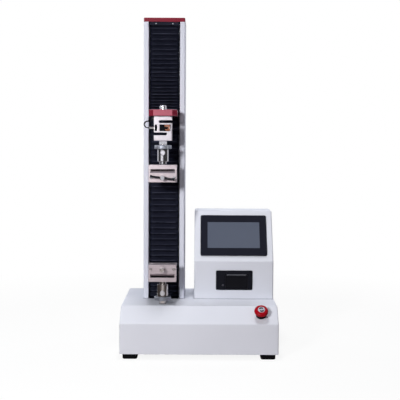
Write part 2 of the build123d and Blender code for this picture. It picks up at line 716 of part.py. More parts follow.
def load_cell():
    """S-shaped beam: two opposed slots, a gauge window and a side pocket for the leads."""
    half = CELL_W / 2
    body = block(AXIS_X - half, AXIS_X + half, AXIS_Y - CELL_T / 2, AXIS_Y + CELL_T / 2, CELL_BOTTOM, CELL_TOP)
    body = fillet(body.edges().filter_by(Axis.Z), CELL_RIM / 2)
    thick = CELL_T + 2
    high = CELL_TOP - CELL_TOP_BAR - CELL_SLOT_H / 2
    low = CELL_BOTTOM + CELL_BOTTOM_BAR + CELL_SLOT_H / 2
    for sx, z in ((1, high), (-1, low)):
        tip = AXIS_X - sx * (CELL_SLOT_END - CELL_SLOT_H / 2)
        mouth = AXIS_X + sx * (half + 1)
        body -= rod_y(tip, z, AXIS_Y - thick / 2, AXIS_Y + thick / 2, CELL_SLOT_H)
        body -= block(min(tip, mouth), max(tip, mouth), AXIS_Y - thick / 2, AXIS_Y + thick / 2,
                      z - CELL_SLOT_H / 2, z + CELL_SLOT_H / 2)
    window_x = AXIS_X + half - CELL_RIM * 1.5 - CELL_WINDOW_W / 2
    pocket_x = AXIS_X - half + CELL_RIM + CELL_POCKET_W / 2
    for sy in (-1, 1):
        y = AXIS_Y + sy * CELL_T / 2
        body -= Pos(window_x, y, GLAND_Z) * Box(CELL_WINDOW_W, 2 * CELL_WINDOW_D, CELL_WINDOW_H)
        body -= Pos(pocket_x, y, GLAND_Z) * Box(CELL_POCKET_W, CELL_WINDOW_D, CELL_WINDOW_H)
    body -= rod_z(AXIS_X, AXIS_Y, CELL_TOP - CELL_TOP_BAR - 1, CELL_TOP + 1, CELL_SCREW_D + 2 * BOLT_FIT)
    body -= rod_z(AXIS_X, AXIS_Y, CELL_BOTTOM - 1, CELL_BOTTOM + CELL_BOTTOM_BAR + 1, STUD_D + 2 * BOLT_FIT)
    return body


def cable_gland():
    """Strain relief on the left side of the load cell."""
    side = AXIS_X - CELL_W / 2
    collar_l = GLAND_L / 3
    gland = rod_x(AXIS_Y, GLAND_Z, side - collar_l, side, GLAND_D)
    tip = rod_x(AXIS_Y, GLAND_Z, side - GLAND_L, side - collar_l, GLAND_D * 0.8)
    tip = chamfer(tip.faces().sort_by(Axis.X)[0].edges(), GLAND_D / 10)
    return gland + tip


def load_cell_cable():
    """Short lead from the strain relief, round in a loop and up into the underside of the arm."""
    start = AXIS_X - CELL_W / 2 - GLAND_L
    points = [
        (start, AXIS_Y, GLAND_Z),
        (start - 9, AXIS_Y, GLAND_Z),
        (start - 15.5, AXIS_Y + 6, GLAND_Z + 9),
        (start - 13, AXIS_Y + 17, GLAND_Z + 18),
        (start - 3, AXIS_Y + 28, GLAND_Z + 20.5),
        (start + 9, AXIS_Y + 37, ARM_BOTTOM - 11),
        (start + 9, AXIS_Y + 37, ARM_BOTTOM),
    ]
    radii = []
    for a, b, c in zip(points, points[1:], points[2:]):
        u = Vector(*b) - Vector(*a)
        v = Vector(*c) - Vector(*b)
        turn = math.radians(u.get_angle(v))
        radii.append(0.45 * min(u.length, v.length) / math.tan(turn / 2))
    path = FilletPolyline(*points, radius=radii)
    profile = Plane(origin=path @ 0, z_dir=path % 0) * Circle(CABLE_D / 2)
    return sweep(profile, path=path)


def hex_stud(z_seat, hex_h, thread_l):
    """Coupling stud: hexagon collar on z_seat, thread beyond the seat, tenon away from it."""
    up = 1 if hex_h > 0 else -1
    collar = Pos(AXIS_X, AXIS_Y, min(z_seat, z_seat + hex_h)) * extrude(
        RegularPolygon(HEX_AF / math.sqrt(3), 6), abs(hex_h))
    thread = sorted((z_seat, z_seat - up * thread_l))
    tenon = sorted((z_seat + hex_h, z_seat + hex_h + up * (RING_H + TENON_L)))
    stud = collar + rod_z(AXIS_X, AXIS_Y, thread[0], thread[1], STUD_D)
    stud += rod_z(AXIS_X, AXIS_Y, tenon[0], tenon[1], TENON_D)
    pin_z = z_seat + hex_h + up * (RING_H + PIN_DEPTH)
    return stud - rod_y(AXIS_X, pin_z, AXIS_Y - TENON_D, AXIS_Y + TENON_D, PIN_D + 2 * RUN_FIT)


def lock_ring(z0):
    """Finger-notched lock ring on the stud."""
    ring = rod_z(AXIS_X, AXIS_Y, z0, z0 + RING_H, RING_D)
    rims = ring.faces().sort_by(Axis.Z)[0].edges() + ring.faces().sort_by(Axis.Z)[-1].edges()
    ring = chamfer(rims, RING_BEVEL)
    notch = Pos(RING_D / 2 + RING_NOTCH_R / 2, 0, 0) * Cylinder(RING_NOTCH_R, 3 * RING_H)
    cuts = [Pos(AXIS_X, AXIS_Y, z0) * Rot(0, 0, 360 * i / RING_NOTCHES) * notch for i in range(RING_NOTCHES)]
    ring -= cuts
    return ring - rod_z(AXIS_X, AXIS_Y, z0 - 1, z0 + RING_H + 1, TENON_D + 2 * RUN_FIT)


def grip_socket(z_mouth, up):
    """Pinned socket of a grip: mouth at z_mouth, neck and threaded stub beyond it."""
    base = z_mouth + up * SOCKET_L
    body = rod_z(AXIS_X, AXIS_Y, min(z_mouth, base), max(z_mouth, base), SOCKET_D)
    rims = body.faces().sort_by(Axis.Z)[0].edges() + body.faces().sort_by(Axis.Z)[-1].edges()
    body = chamfer(rims, SOCKET_BEVEL)
    neck_end = base + up * NECK_L
    stub_end = neck_end + up * SOCKET_STUB_L
    body += rod_z(AXIS_X, AXIS_Y, min(base, neck_end), max(base, neck_end), TENON_D)
    body += rod_z(AXIS_X, AXIS_Y, min(neck_end, stub_end), max(neck_end, stub_end), STUD_D)
    floor = z_mouth + up * (TENON_L + SLIP)
    mouth = z_mouth - up
    body -= rod_z(AXIS_X, AXIS_Y, min(mouth, floor), max(mouth, floor), TENON_D + 2 * RUN_FIT)
    pin_z = z_mouth + up * PIN_DEPTH
    return body - rod_y(AXIS_X, pin_z, AXIS_Y - SOCKET_D, AXIS_Y + SOCKET_D, PIN_D + 2 * RUN_FIT)


def coupling_pin(z_mouth, up):
    """Headed pin through the socket and the tenon."""
    z = z_mouth + up * PIN_DEPTH
    front = AXIS_Y - SOCKET_D / 2
    pin = rod_y(AXIS_X, z, front - PIN_HEAD_L, front, PIN_HEAD_D)
    pin = chamfer(pin.faces().sort_by(Axis.Y)[0].edges(), PIN_HEAD_L / 4)
    return pin + rod_y(AXIS_X, z, front, AXIS_Y + SOCKET_D / 2, PIN_D)


def grip_place(shape, z_web, up):
    """Places a grip piece: its web's outer face at z_web and its open edge up or down."""
    turn = Rot(0, 0 if up > 0 else 180, 0)
    return Pos(AXIS_X, AXIS_Y, z_web) * turn * shape


def grip_body():
    """Clamp frame: web, rear wall with the fixed jaw face, slotted front wall with a bevelled sill."""
    half = GRIP_D / 2
    side = [
        (-half, 0),
        (half, 0),
        (half, GRIP_H),
        (JAW_FACE_Y, GRIP_H),
        (JAW_FACE_Y, GRIP_H - JAW_H),
        (JAW_FACE_Y + TOOTH_DEPTH, GRIP_H - JAW_H),
        (JAW_FACE_Y + TOOTH_DEPTH, GRIP_WEB),
        (CAVITY_FRONT, GRIP_WEB),
        (CAVITY_FRONT, GRIP_H),
        (-half, GRIP_H),
        (-half, GRIP_WEB + WINDOW_H + WINDOW_BEVEL_H),
        (-half + WINDOW_BEVEL_D, GRIP_WEB + WINDOW_H),
        (-half + WINDOW_BEVEL_D, GRIP_WEB),
        (-half, GRIP_WEB),
    ]
    body = across(make_face(Polyline(*side, close=True)), 0, GRIP_W)
    ends = (GRIP_W - WINDOW_W) / 2
    for sx in (-1, 1):
        x = sx * (GRIP_W - ends) / 2
        body += block(x - ends / 2, x + ends / 2, -half, CAVITY_FRONT, GRIP_WEB,
                      GRIP_WEB + WINDOW_H + WINDOW_BEVEL_H)
    body -= block(-WINDOW_W / 2, WINDOW_W / 2, -half - 1, CAVITY_FRONT + 1, GRIP_WEB, GRIP_WEB + WINDOW_H)
    body -= jaw_teeth(JAW_FACE_Y, 1)
    body = chamfer(body.faces().sort_by(Axis.Z)[0].edges(), GRIP_EDGE)
    for x, d in ((-ROD_X, ROD_D), (0, CLAMP_D), (ROD_X, ROD_D)):
        body -= rod_y(x, CLAMP_Z, -half - 1, CAVITY_FRONT + 1, d + 2 * RUN_FIT)
    return body - rod_z(0, 0, -1, SOCKET_STUB_L + SLIP, STUD_D + 2 * BOLT_FIT)


def jaw_teeth(face_y, side):
    """Row of vee grooves to cut in a jaw face; side is the way into the jaw."""
    count = int(JAW_H / TOOTH_PITCH) - 1
    low = GRIP_H - JAW_H
    cuts = []
    for i in range(count):
        z = low + (i + 1) * TOOTH_PITCH
        vee = [
            (face_y - side * SLIP, z - TOOTH_PITCH * 0.4),
            (face_y + side * TOOTH_DEPTH, z),
            (face_y - side * SLIP, z + TOOTH_PITCH * 0.4),
        ]
        cuts.append(across(make_face(Polyline(*vee, close=True)), 0, GRIP_W + 2))
    return cuts


def grip_jaw():
    """Moving jaw with a toothed face, rod holes and a seat for the clamp screw."""
    half = GRIP_W / 2 - JAW_SIDE
    front = JAW_BACK_Y - JAW_T
    jaw = block(-half, half, front, JAW_BACK_Y, GRIP_H - JAW_H, GRIP_H)
    jaw -= jaw_teeth(JAW_BACK_Y, -1)
    for sx in (-1, 1):
        jaw -= rod_y(sx * ROD_X, CLAMP_Z, front - 1, front + ROD_SEAT, ROD_D + 2 * RUN_FIT)
    return jaw - rod_y(0, CLAMP_Z, front - 1, front + CLAMP_SEAT + RUN_FIT, CLAMP_D + 2 * RUN_FIT)


def jaw_rods():
    """Two guide rods fixed in the moving jaw, their ends just proud of the front wall."""
    seat = JAW_BACK_Y - JAW_T + ROD_SEAT
    rods = []
    for sx in (-1, 1):
        rod = rod_y(sx * ROD_X, CLAMP_Z, -GRIP_D / 2 - ROD_PROUD, seat, ROD_D)
        rods.append(chamfer(rod.faces().sort_by(Axis.Y)[0].edges(), ROD_D / 10))
    return rods


def clamp_screw(tilt):
    """Clamp screw with a round head and a cross hole turned by the tilt."""
    seat = JAW_BACK_Y - JAW_T + CLAMP_SEAT
    head_back = -GRIP_D / 2 - CLAMP_HEAD_GAP
    head = rod_y(0, CLAMP_Z, head_back - CLAMP_HEAD_L, head_back, CLAMP_HEAD_D)
    head = chamfer(head.faces().sort_by(Axis.Y)[0].edges(), CLAMP_HEAD_D / 14)
    screw = head + rod_y(0, CLAMP_Z, head_back, seat, CLAMP_D)
    hole = Rot(0, 90, 0) * Cylinder(CROSS_HOLE_D / 2, 2 * CLAMP_HEAD_D)
    return screw - Pos(0, head_back - CLAMP_HEAD_L / 2, CLAMP_Z) * Rot(0, tilt, 0) * hole


def tommy_bar(tilt):
    """Sliding bar through the clamp screw's head, with a button on each end."""
    bar = Rot(0, 90, 0) * Cylinder(BAR_D / 2, BAR_L)
    for sx in (-1, 1):
        button = Pos(sx * (BAR_L - BAR_END_L) / 2, 0, 0) * Rot(0, 90, 0) * Cylinder(BAR_END_D / 2, BAR_END_L)
        bar += button
    y = -GRIP_D / 2 - CLAMP_HEAD_GAP - CLAMP_HEAD_L / 2
    return Pos(0, y, CLAMP_Z) * Rot(0, tilt, 0) * bar


def control_box_outline():
    """Outline of the control box with its inclined screen face."""
    return [
        (BOX_FRONT, DECK_Z),
        (BOX_FRONT, DECK_Z + BOX_FACE_H),
        (BOX_FRONT + BOX_SETBACK, DECK_Z + BOX_TOP_H),
        (BOX_REAR, DECK_Z + BOX_TOP_H),
        (BOX_REAR, DECK_Z),
    ]


def control_box_cutouts():
    """Openings for the touch panel, the printer bay and the feed button."""
    face = Box(PANEL_BACK_W + 2 * CUTOUT_GAP, PANEL_BACK_H + 2 * CUTOUT_GAP, 8 * SHEET)
    bay_w = LID_W + 2 * LID_GAP + 2 * BAY_WALL + 2 * CUTOUT_GAP
    bay = Pos(LID_X, BOX_FRONT, PRINTER_Z) * Box(bay_w, 4 * SHEET, BAY_H + 2 * BAY_WALL + 2 * CUTOUT_GAP)
    button = rod_y(BUTTON_X, BUTTON_Z, BOX_FRONT - SHEET, BOX_FRONT + 3 * SHEET, BUTTON_D + 4 * CUTOUT_GAP)
    return [screen_plane().location * face, bay, button]


def front_part():
    """Space in front of the seam between the front panel and the cover."""
    low = DECK_Z - 1
    seam = SHEET + EDGE_R
    points = [
        (BOX_FRONT - 1, low),
        (BOX_FRONT + seam, low),
        (BOX_FRONT + seam, DECK_Z + BOX_FACE_H - BOX_BEND_R),
        (BOX_FRONT + BOX_SETBACK + seam, DECK_Z + BOX_TOP_H - BOX_BEND_R),
        (BOX_FRONT + BOX_SETBACK + seam, DECK_Z + BOX_TOP_H + 1),
        (BOX_FRONT - 1, DECK_Z + BOX_TOP_H + 1),
    ]
    return across(make_face(Polyline(*points, close=True)), BOX_X, BOX_W + 2)


def control_box_front():
    """Folded front panel: upright printer face and inclined screen face."""
    shell = folded_shell(control_box_outline(), [1, 2, 3], BOX_BEND_R, BOX_X, BOX_W)
    return (shell & front_part()) - control_box_cutouts()


def control_box_cover():
    """Sides, top and rear of the control box."""
    shell = folded_shell(control_box_outline(), [1, 2, 3], BOX_BEND_R, BOX_X, BOX_W)
    return shell - front_part()


def panel_bezel():
    """Moulded frame of the touch panel with a stepped window."""
    outer = extrude(RectangleRounded(PANEL_W, PANEL_H, PANEL_R), PANEL_PROUD)
    outer = chamfer(outer.faces().sort_by(Axis.Z)[-1].edges(), PANEL_PROUD / 4)
    seat = PANEL_PROUD - GLASS_SINK - GLASS_T
    outer -= Pos(0, 0, PANEL_PROUD) * Box(GLASS_W + 2 * SLIP, GLASS_H + 2 * SLIP, 2 * (PANEL_PROUD - seat))
    outer -= Box(GLASS_W - 2 * GLASS_LIP, GLASS_H - 2 * GLASS_LIP, 4 * PANEL_PROUD)
    return screen_plane().location * outer


def panel_glass():
    """Display glass in the window."""
    z = PANEL_PROUD - GLASS_SINK - GLASS_T / 2
    return screen_plane().location * Pos(0, 0, z) * Box(GLASS_W, GLASS_H, GLASS_T)


def panel_back():
    """Rear housing of the touch panel inside the control box."""
    body = Pos(0, 0, -PANEL_BACK_D / 2) * Box(PANEL_BACK_W, PANEL_BACK_H, PANEL_BACK_D)
    body = chamfer(body.faces().sort_by(Axis.Z)[0].edges(), PANEL_BACK_D / 6)
    return screen_plane().location * body


def printer_frame():
    """Printer bezel with the paper bay behind it and bearings for the lid."""
    front = BOX_FRONT - PRINTER_PROUD
    plate = RectangleRounded(PRINTER_W, PRINTER_H, PRINTER_R)
    bezel = Pos(PRINTER_X, BOX_FRONT, PRINTER_Z) * Rot(90, 0, 0) * extrude(plate, PRINTER_PROUD)
    bezel = chamfer(bezel.faces().sort_by(Axis.Y)[0].edges(), PRINTER_PROUD / 4)
    half = LID_W / 2 + LID_GAP
    low = PRINTER_Z - BAY_H / 2
    high = PRINTER_Z + BAY_H / 2
    tub = block(LID_X - half - BAY_WALL, LID_X + half + BAY_WALL, BOX_FRONT, BOX_FRONT + BAY_D,
                low - BAY_WALL, high + BAY_WALL)
    tub -= block(LID_X - half, LID_X + half, BOX_FRONT - 1, BOX_FRONT + BAY_D - BAY_WALL, low, high)
    mouth = block(LID_X - half, LID_X + half, front - 1, BOX_FRONT + 1, LID_BOTTOM - LID_GAP,
                  LID_TOP + PAPER_SLIT)
    frame = bezel + tub - mouth
    return frame - rod_y(BUTTON_X, BUTTON_Z, front - 1, BOX_FRONT + 1, BUTTON_D + 2 * SLIP)


def printer_lid():
    """Paper door with a rolled lower edge and two ears for the roller."""
    half = LID_W / 2
    front = LID_HINGE_Y - LID_T / 2
    back = LID_HINGE_Y + LID_T / 2
    lid = block(LID_X - half, LID_X + half, front, back, LID_HINGE_Z, LID_TOP)
    lid += rod_x(LID_HINGE_Y, LID_HINGE_Z, LID_X - half, LID_X + half, LID_T)
    inner = ROLLER_L / 2 + GUIDE_GAP
    for sx in (-1, 1):
        x = sorted((LID_X + sx * inner, LID_X + sx * (inner + EAR_T)))
        ear = block(x[0], x[1], back, ROLLER_Y, ROLLER_Z - EAR_R, ROLLER_Z + EAR_R)
        ear += rod_x(ROLLER_Y, ROLLER_Z, x[0], x[1], 2 * EAR_R)
        lid += ear - rod_x(ROLLER_Y, ROLLER_Z, x[0] - 1, x[1] + 1, ROLLER_PIN_D + 2 * RUN_FIT)
    return lid


def platen_roller():
    """Rubber roller behind the paper slit."""
    roller = rod_x(ROLLER_Y, ROLLER_Z, LID_X - ROLLER_L / 2, LID_X + ROLLER_L / 2, ROLLER_D)
    reach = ROLLER_L / 2 + GUIDE_GAP + ROLLER_PIN_L
    return roller + rod_x(ROLLER_Y, ROLLER_Z, LID_X - reach, LID_X + reach, ROLLER_PIN_D)


def feed_button():
    """Paper feed button."""
    front = BOX_FRONT - PRINTER_PROUD - BUTTON_PROUD
    button = rod_y(BUTTON_X, BUTTON_Z, front, front + BUTTON_L, BUTTON_D)
    return chamfer(button.faces().sort_by(Axis.Y)[0].edges(), BUTTON_D / 12)


def estop_collar():
    """Collar and barrel of the emergency stop in the sloped panel."""
    collar = Pos(0, 0, ESTOP_COLLAR_H / 2) * Cylinder(ESTOP_COLLAR_D / 2, ESTOP_COLLAR_H)
    collar = chamfer(collar.faces().sort_by(Axis.Z)[-1].edges(), ESTOP_COLLAR_H / 4)
    barrel = Pos(0, 0, -ESTOP_BARREL_L / 2) * Cylinder(ESTOP_BARREL_D / 2, ESTOP_BARREL_L)
    bore = Cylinder(ESTOP_STEM_D / 2 + RUN_FIT, 2 * (ESTOP_BARREL_L - 2 * SHEET))
    return slope_plane(ESTOP_X).location * (collar + barrel - bore)


def estop_plunger():
    """Stem that the head turns and presses."""
    low = -ESTOP_BARREL_L / 2
    high = ESTOP_HEAD_LOW + ESTOP_SEAT
    stem = Pos(0, 0, (low + high) / 2) * Cylinder(ESTOP_STEM_D / 2, high - low)
    return slope_plane(ESTOP_X).location * stem


def estop_head():
    """Mushroom head, turned: waisted underside, rounded rim and a flat centre."""
    r = ESTOP_HEAD_D / 2
    top = ESTOP_HEAD_LOW + ESTOP_HEAD_H
    rim = ESTOP_HEAD_LOW + ESTOP_HEAD_H * 0.45
    bore = ESTOP_STEM_D / 2 + RUN_FIT
    outline = Polyline((bore, ESTOP_HEAD_LOW), (r * 0.72, ESTOP_HEAD_LOW), (r, rim))
    crown = ThreePointArc((r, rim), (r * 0.9, rim + (top - rim) * 0.72), (ESTOP_FACE_D / 2, top))
    inside = Polyline((ESTOP_FACE_D / 2, top), (0, top), (0, ESTOP_HEAD_LOW + ESTOP_SEAT + RUN_FIT),
                      (bore, ESTOP_HEAD_LOW + ESTOP_SEAT + RUN_FIT), (bore, ESTOP_HEAD_LOW))
    half = make_face(outline + crown + inside)
    return slope_plane(ESTOP_X).location * revolve(Plane.XZ * half, Axis.Z)


def power_inlet():
    """Three-blade inlet and switch housing in the rear wall."""
    face = BASE_REAR + INLET_PROUD
    flange = block(INLET_X - INLET_W / 2, INLET_X + INLET_W / 2, BASE_REAR, face,
                   INLET_Z - INLET_H / 2, INLET_Z + INLET_H / 2)
    flange = chamfer(flange.faces().sort_by(Axis.Y)[-1].edges(), INLET_PROUD / 4)
    w = INLET_W / 2 - INLET_RIM
    h = INLET_H / 2 - INLET_RIM
    body = block(INLET_X - w, INLET_X + w, BASE_REAR - INLET_BODY_D, BASE_REAR, INLET_Z - h, INLET_Z + h)
    inlet = flange + body
    socket_x = INLET_X - w + INLET_RIM / 2 + SOCKET_W / 2
    inlet -= Pos(socket_x, face, INLET_Z) * Box(SOCKET_W, 2 * SOCKET_DEPTH, SOCKET_H)
    floor_y = face - SOCKET_DEPTH
    for i in (-1, 0, 1):
        x = socket_x + i * BLADE_PITCH
        z = INLET_Z + (BLADE_H / 2 if i == 0 else -BLADE_H / 2)
        inlet += block(x - BLADE_W / 2, x + BLADE_W / 2, floor_y - 1, floor_y + BLADE_L,
                       z - BLADE_H / 2, z + BLADE_H / 2)
    well = Pos(rocker_x(), face, INLET_Z) * Box(
        ROCKER_W + 2 * ROCKER_GAP, ROCKER_H + 2 * (ROCKER_PIVOT + ROCKER_GAP), ROCKER_H + 2 * ROCKER_GAP)
    return inlet - well


def rocker_x():
    """Middle of the rocker switch."""
    return INLET_X + INLET_W / 2 - INLET_RIM - ROCKER_W / 2 - ROCKER_GAP - INLET_RIM / 4


def power_rocker():
    """Rocker of the power switch, flat-faced and tipped to its off side."""
    pivot_y = BASE_REAR + INLET_PROUD - ROCKER_PIVOT
    barrel = Rot(0, 90, 0) * Cylinder(ROCKER_H / 2 - ROCKER_GAP, ROCKER_W)
    flat = ROCKER_PIVOT - ROCKER_SINK
    barrel -= block(-ROCKER_W, ROCKER_W, flat, ROCKER_H, -ROCKER_H, ROCKER_H)
    return Pos(rocker_x(), pivot_y, INLET_Z) * Rot(-ROCKER_TILT, 0, 0) * barrel


def lower_bearing():
    """Bearing block that stands on the deck."""
    return bearing(DECK_Z, CORE_FRONT + CHANNEL_D)


def upper_bearing():
    """Bearing block near the top of the channel."""
    return bearing(COL_TOP - RAIL_END - BEARING_H, CORE_FRONT + CHANNEL_D)


def all_nodes():
    """Every piece of the machine by name."""
    upper_mouth = UPPER_RING_TOP - RING_H
    lower_mouth = LOWER_RING_BOTTOM + RING_H
    nodes = {
        "base_housing": base_housing(),
        "base_plate": base_plate(),
        "feet": feet(),
        "bed_casting": bed_casting(),
        "power_inlet": power_inlet(),
        "power_rocker": power_rocker(),
        "drive_motor": drive_motor(),
        "motor_pulley": motor_pulley(),
        "drive_belt": drive_belt(),
        "screw_pulley": pulley(AXIS_X, JOURNAL_D),
        "lead_screw": lead_screw(),
        "lower_bearing": lower_bearing(),
        "upper_bearing": upper_bearing(),
        "column_core": column_core(),
        "column_side_left": column_side(-1),
        "column_side_right": column_side(1),
        "column_back": column_back(),
        "top_cap": top_cap(),
        "guide_rails": guide_rails(),
        "bellows_upper": bellows_upper(),
        "bellows_lower": bellows_lower(),
        "bellows_screws": bellows_screws(),
        "control_box_front": control_box_front(),
        "control_box_cover": control_box_cover(),
        "panel_bezel": panel_bezel(),
        "panel_glass": panel_glass(),
        "panel_back": panel_back(),
        "printer_frame": printer_frame(),
        "printer_lid": printer_lid(),
        "platen_roller": platen_roller(),
        "feed_button": feed_button(),
        "estop_collar": estop_collar(),
        "estop_plunger": estop_plunger(),
        "estop_head": estop_head(),
        "carriage_plate": carriage_plate(),
        "guide_blocks": guide_blocks(),
        "ball_nut": ball_nut(),
        "crosshead_arm": crosshead_arm(),
        "arm_bolts": arm_bolts(),
        "load_cell": load_cell(),
        "load_cell_screw": load_cell_screw(),
        "cable_gland": cable_gland(),
        "load_cell_cable": load_cell_cable(),
        "upper_stud": hex_stud(CELL_BOTTOM, -UPPER_HEX_H, STUD_THREAD),
        "upper_lock_ring": lock_ring(upper_mouth),
        "upper_socket": grip_socket(upper_mouth, -1),
        "upper_pin": coupling_pin(upper_mouth, -1),
        "upper_tommy_bar": grip_place(tommy_bar(BAR_TILT), UPPER_GRIP_TOP, -1),
        "lower_stud": hex_stud(DECK_Z, LOWER_HEX_H, STUD_THREAD),
        "lower_lock_ring": lock_ring(LOWER_RING_BOTTOM),
        "lower_socket": grip_socket(lower_mouth, 1),
        "lower_pin": coupling_pin(lower_mouth, 1),
    }
    for name, z_web, up, tilt in (("upper", UPPER_GRIP_TOP, -1, BAR_TILT), ("lower", LOWER_GRIP_BOTTOM, 1, 0)):
        nodes[name + "_grip_body"] = grip_place(grip_body(), z_web, up)
        nodes[name + "_jaw"] = grip_place(grip_jaw(), z_web, up)
        nodes[name + "_jaw_rods"] = [grip_place(rod, z_web, up) for rod in jaw_rods()]
        nodes[name + "_clamp_screw"] = grip_place(clamp_screw(tilt), z_web, up)
    return nodes


os.makedirs("parts", exist_ok=True)
for node, shape in all_nodes().items():
    solids = shape if isinstance(shape, list) else [shape]
    solids = [s for piece in solids for s in piece.solids()]
    export_step(solids[0] if len(solids) == 1 else Compound(children=solids), f"parts/{node}.step")
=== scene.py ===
import math

import bmesh
import bpy
from mathutils import Matrix, Vector


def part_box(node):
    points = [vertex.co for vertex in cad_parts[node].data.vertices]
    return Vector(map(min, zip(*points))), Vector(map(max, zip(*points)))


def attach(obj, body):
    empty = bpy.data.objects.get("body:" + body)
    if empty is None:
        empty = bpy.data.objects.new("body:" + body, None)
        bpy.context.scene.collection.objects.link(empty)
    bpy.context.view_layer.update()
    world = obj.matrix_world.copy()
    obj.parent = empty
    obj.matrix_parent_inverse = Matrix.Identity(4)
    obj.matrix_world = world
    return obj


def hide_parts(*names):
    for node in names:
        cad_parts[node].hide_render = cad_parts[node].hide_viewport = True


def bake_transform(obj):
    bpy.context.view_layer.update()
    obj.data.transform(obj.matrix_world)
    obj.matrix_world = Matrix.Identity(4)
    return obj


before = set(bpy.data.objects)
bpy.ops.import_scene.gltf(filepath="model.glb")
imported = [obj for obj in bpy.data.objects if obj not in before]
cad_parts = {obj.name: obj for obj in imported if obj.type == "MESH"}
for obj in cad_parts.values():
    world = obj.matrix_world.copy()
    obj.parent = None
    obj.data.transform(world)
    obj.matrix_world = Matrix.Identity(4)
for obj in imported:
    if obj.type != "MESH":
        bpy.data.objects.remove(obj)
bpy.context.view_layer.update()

# Studio. A white sweep under and behind the machine, a soft box to the front left, a small one overhead,
# a weak one to the right and two behind; the sides of the room are dark, so that metal shows contrast.


def add(tree, kind, inputs=None, **settings):
    """New node with its settings, and with each input set to a value or joined to a socket."""
    node = tree.nodes.new(kind)
    for key, value in settings.items():
        setattr(node, key, value)
    for key, value in (inputs or {}).items():
        if isinstance(value, bpy.types.NodeSocket):
            tree.links.new(value, node.inputs[key])
        else:
            node.inputs[key].default_value = value
    return node


def sums(tree, operation, a, b=0.0, c=0.0):
    """Math node on one to three values."""
    return add(tree, "ShaderNodeMath", {0: a, 1: b, 2: c}, operation=operation).outputs[0]


def shift(tree, value, low, high, to_low, to_high):
    """Map Range node, clamped."""
    return add(tree, "ShaderNodeMapRange", {0: value, 1: low, 2: high, 3: to_low, 4: to_high}).outputs[0]


scene = bpy.context.scene
scene.view_settings.view_transform = "Standard"

ROOM_AMBIENT = 0.075
ROOM_DARK = 0.07
ROOM_TINT = (0.90, 0.95, 1.08, 1.0)
ROOM_FRONT = 1.25
ROOM_ABOVE = 0.9
ROOM_BACK = 1.0
FRONT_WAY = (-0.34, -0.94, 0.0)
CARD_EDGE = (0.84, 0.975)
CARD_FADE = (0.05, 0.2)
CARD_TOP = 0.3
ABOVE_FROM = (0.3, 0.85)
BACK_FROM = (0.05, 0.45)
WHITE = (1, 1, 1, 1)
world = bpy.data.worlds.new("studio")
scene.world = world
world.use_nodes = True
sky = world.node_tree
sky.nodes.clear()
ray = add(sky, "ShaderNodeLightPath")
seen = sums(sky, "MAXIMUM", ray.outputs["Is Camera Ray"], ray.outputs["Is Transmission Ray"])
toward = add(sky, "ShaderNodeTexCoord").outputs["Generated"]
way = add(sky, "ShaderNodeSeparateXYZ", {0: toward}).outputs
facing = add(sky, "ShaderNodeVectorMath", {0: toward, 1: FRONT_WAY}, operation="DOT_PRODUCT").outputs["Value"]
card = shift(sky, facing, *CARD_EDGE, ROOM_DARK, ROOM_FRONT)
card = sums(sky, "MULTIPLY", card, shift(sky, way["Z"], *CARD_FADE, 1.0, CARD_TOP))
room = sums(sky, "MAXIMUM", card, shift(sky, way["Z"], *ABOVE_FROM, 0.0, ROOM_ABOVE))
room = sums(sky, "MAXIMUM", room, shift(sky, way["Y"], *BACK_FROM, 0.0, ROOM_BACK))
level = add(sky, "ShaderNodeMix", {0: ray.outputs["Is Glossy Ray"], 2: ROOM_AMBIENT, 3: room}).outputs[0]
level = add(sky, "ShaderNodeMix", {0: seen, 2: level, 3: 1.0}).outputs[0]
cool = add(sky, "ShaderNodeMix", {0: seen, 6: ROOM_TINT, 7: WHITE}, data_type="RGBA").outputs[2]
glow = add(sky, "ShaderNodeBackground", {"Color": cool, "Strength": level})
add(sky, "ShaderNodeOutputWorld", {"Surface": glow.outputs[0]})

FLOOR_SIZE = 12.0
FLOOR_CLEAR = 0.9
FLOOR_FAR = 1.6
FLOOR_GLOW = 0.88
SWEEP_END = -2.2
SWEEP_FADE = 0.2
SWEEP_SIDE = 0.62
SIDE_FADE = 0.3
SWEEP_DIM = (0.10, 0.085, 0.08, 1)
SWEEP_LIT = (0.46, 0.42, 0.42, 1)
MIRROR_FROM = (-1.25, -0.95)
MIRROR_LEVEL = (0.12, 0.55)
sweep = bpy.data.materials.new("studio_sweep")
sweep.use_nodes = True
tree = sweep.node_tree
tree.nodes.clear()
ray = add(tree, "ShaderNodeLightPath")
shows = sums(tree, "MAXIMUM", ray.outputs["Is Camera Ray"], ray.outputs["Is Transmission Ray"])
spot = add(tree, "ShaderNodeTexCoord").outputs["Object"]
away = add(tree, "ShaderNodeVectorMath", {0: spot}, operation="LENGTH").outputs["Value"]
near = shift(tree, away, FLOOR_CLEAR, FLOOR_FAR, FLOOR_GLOW, 1.0)
place_on = add(tree, "ShaderNodeSeparateXYZ", {0: spot}).outputs
laid = shift(tree, place_on["Y"], SWEEP_END - SWEEP_FADE, SWEEP_END, 0.0, 1.0)
aside = sums(tree, "ABSOLUTE", place_on["X"])
laid = sums(tree, "MULTIPLY", laid, shift(tree, aside, SWEEP_SIDE, SWEEP_SIDE - SIDE_FADE, 0.0, 1.0))
bounce = add(tree, "ShaderNodeMix", {0: laid, 6: SWEEP_DIM, 7: SWEEP_LIT}, data_type="RGBA")
paper_colour = add(tree, "ShaderNodeMix", {0: shows, 6: bounce.outputs[2], 7: WHITE}, data_type="RGBA")
shows = sums(tree, "MULTIPLY", shows, near)
mirrored = sums(tree, "MULTIPLY", laid, shift(tree, place_on["Y"], *MIRROR_FROM, *MIRROR_LEVEL))
shows = sums(tree, "MULTIPLY_ADD", ray.outputs["Is Glossy Ray"], mirrored, shows)
paper = add(tree, "ShaderNodeBsdfDiffuse", {"Color": paper_colour.outputs[2]})
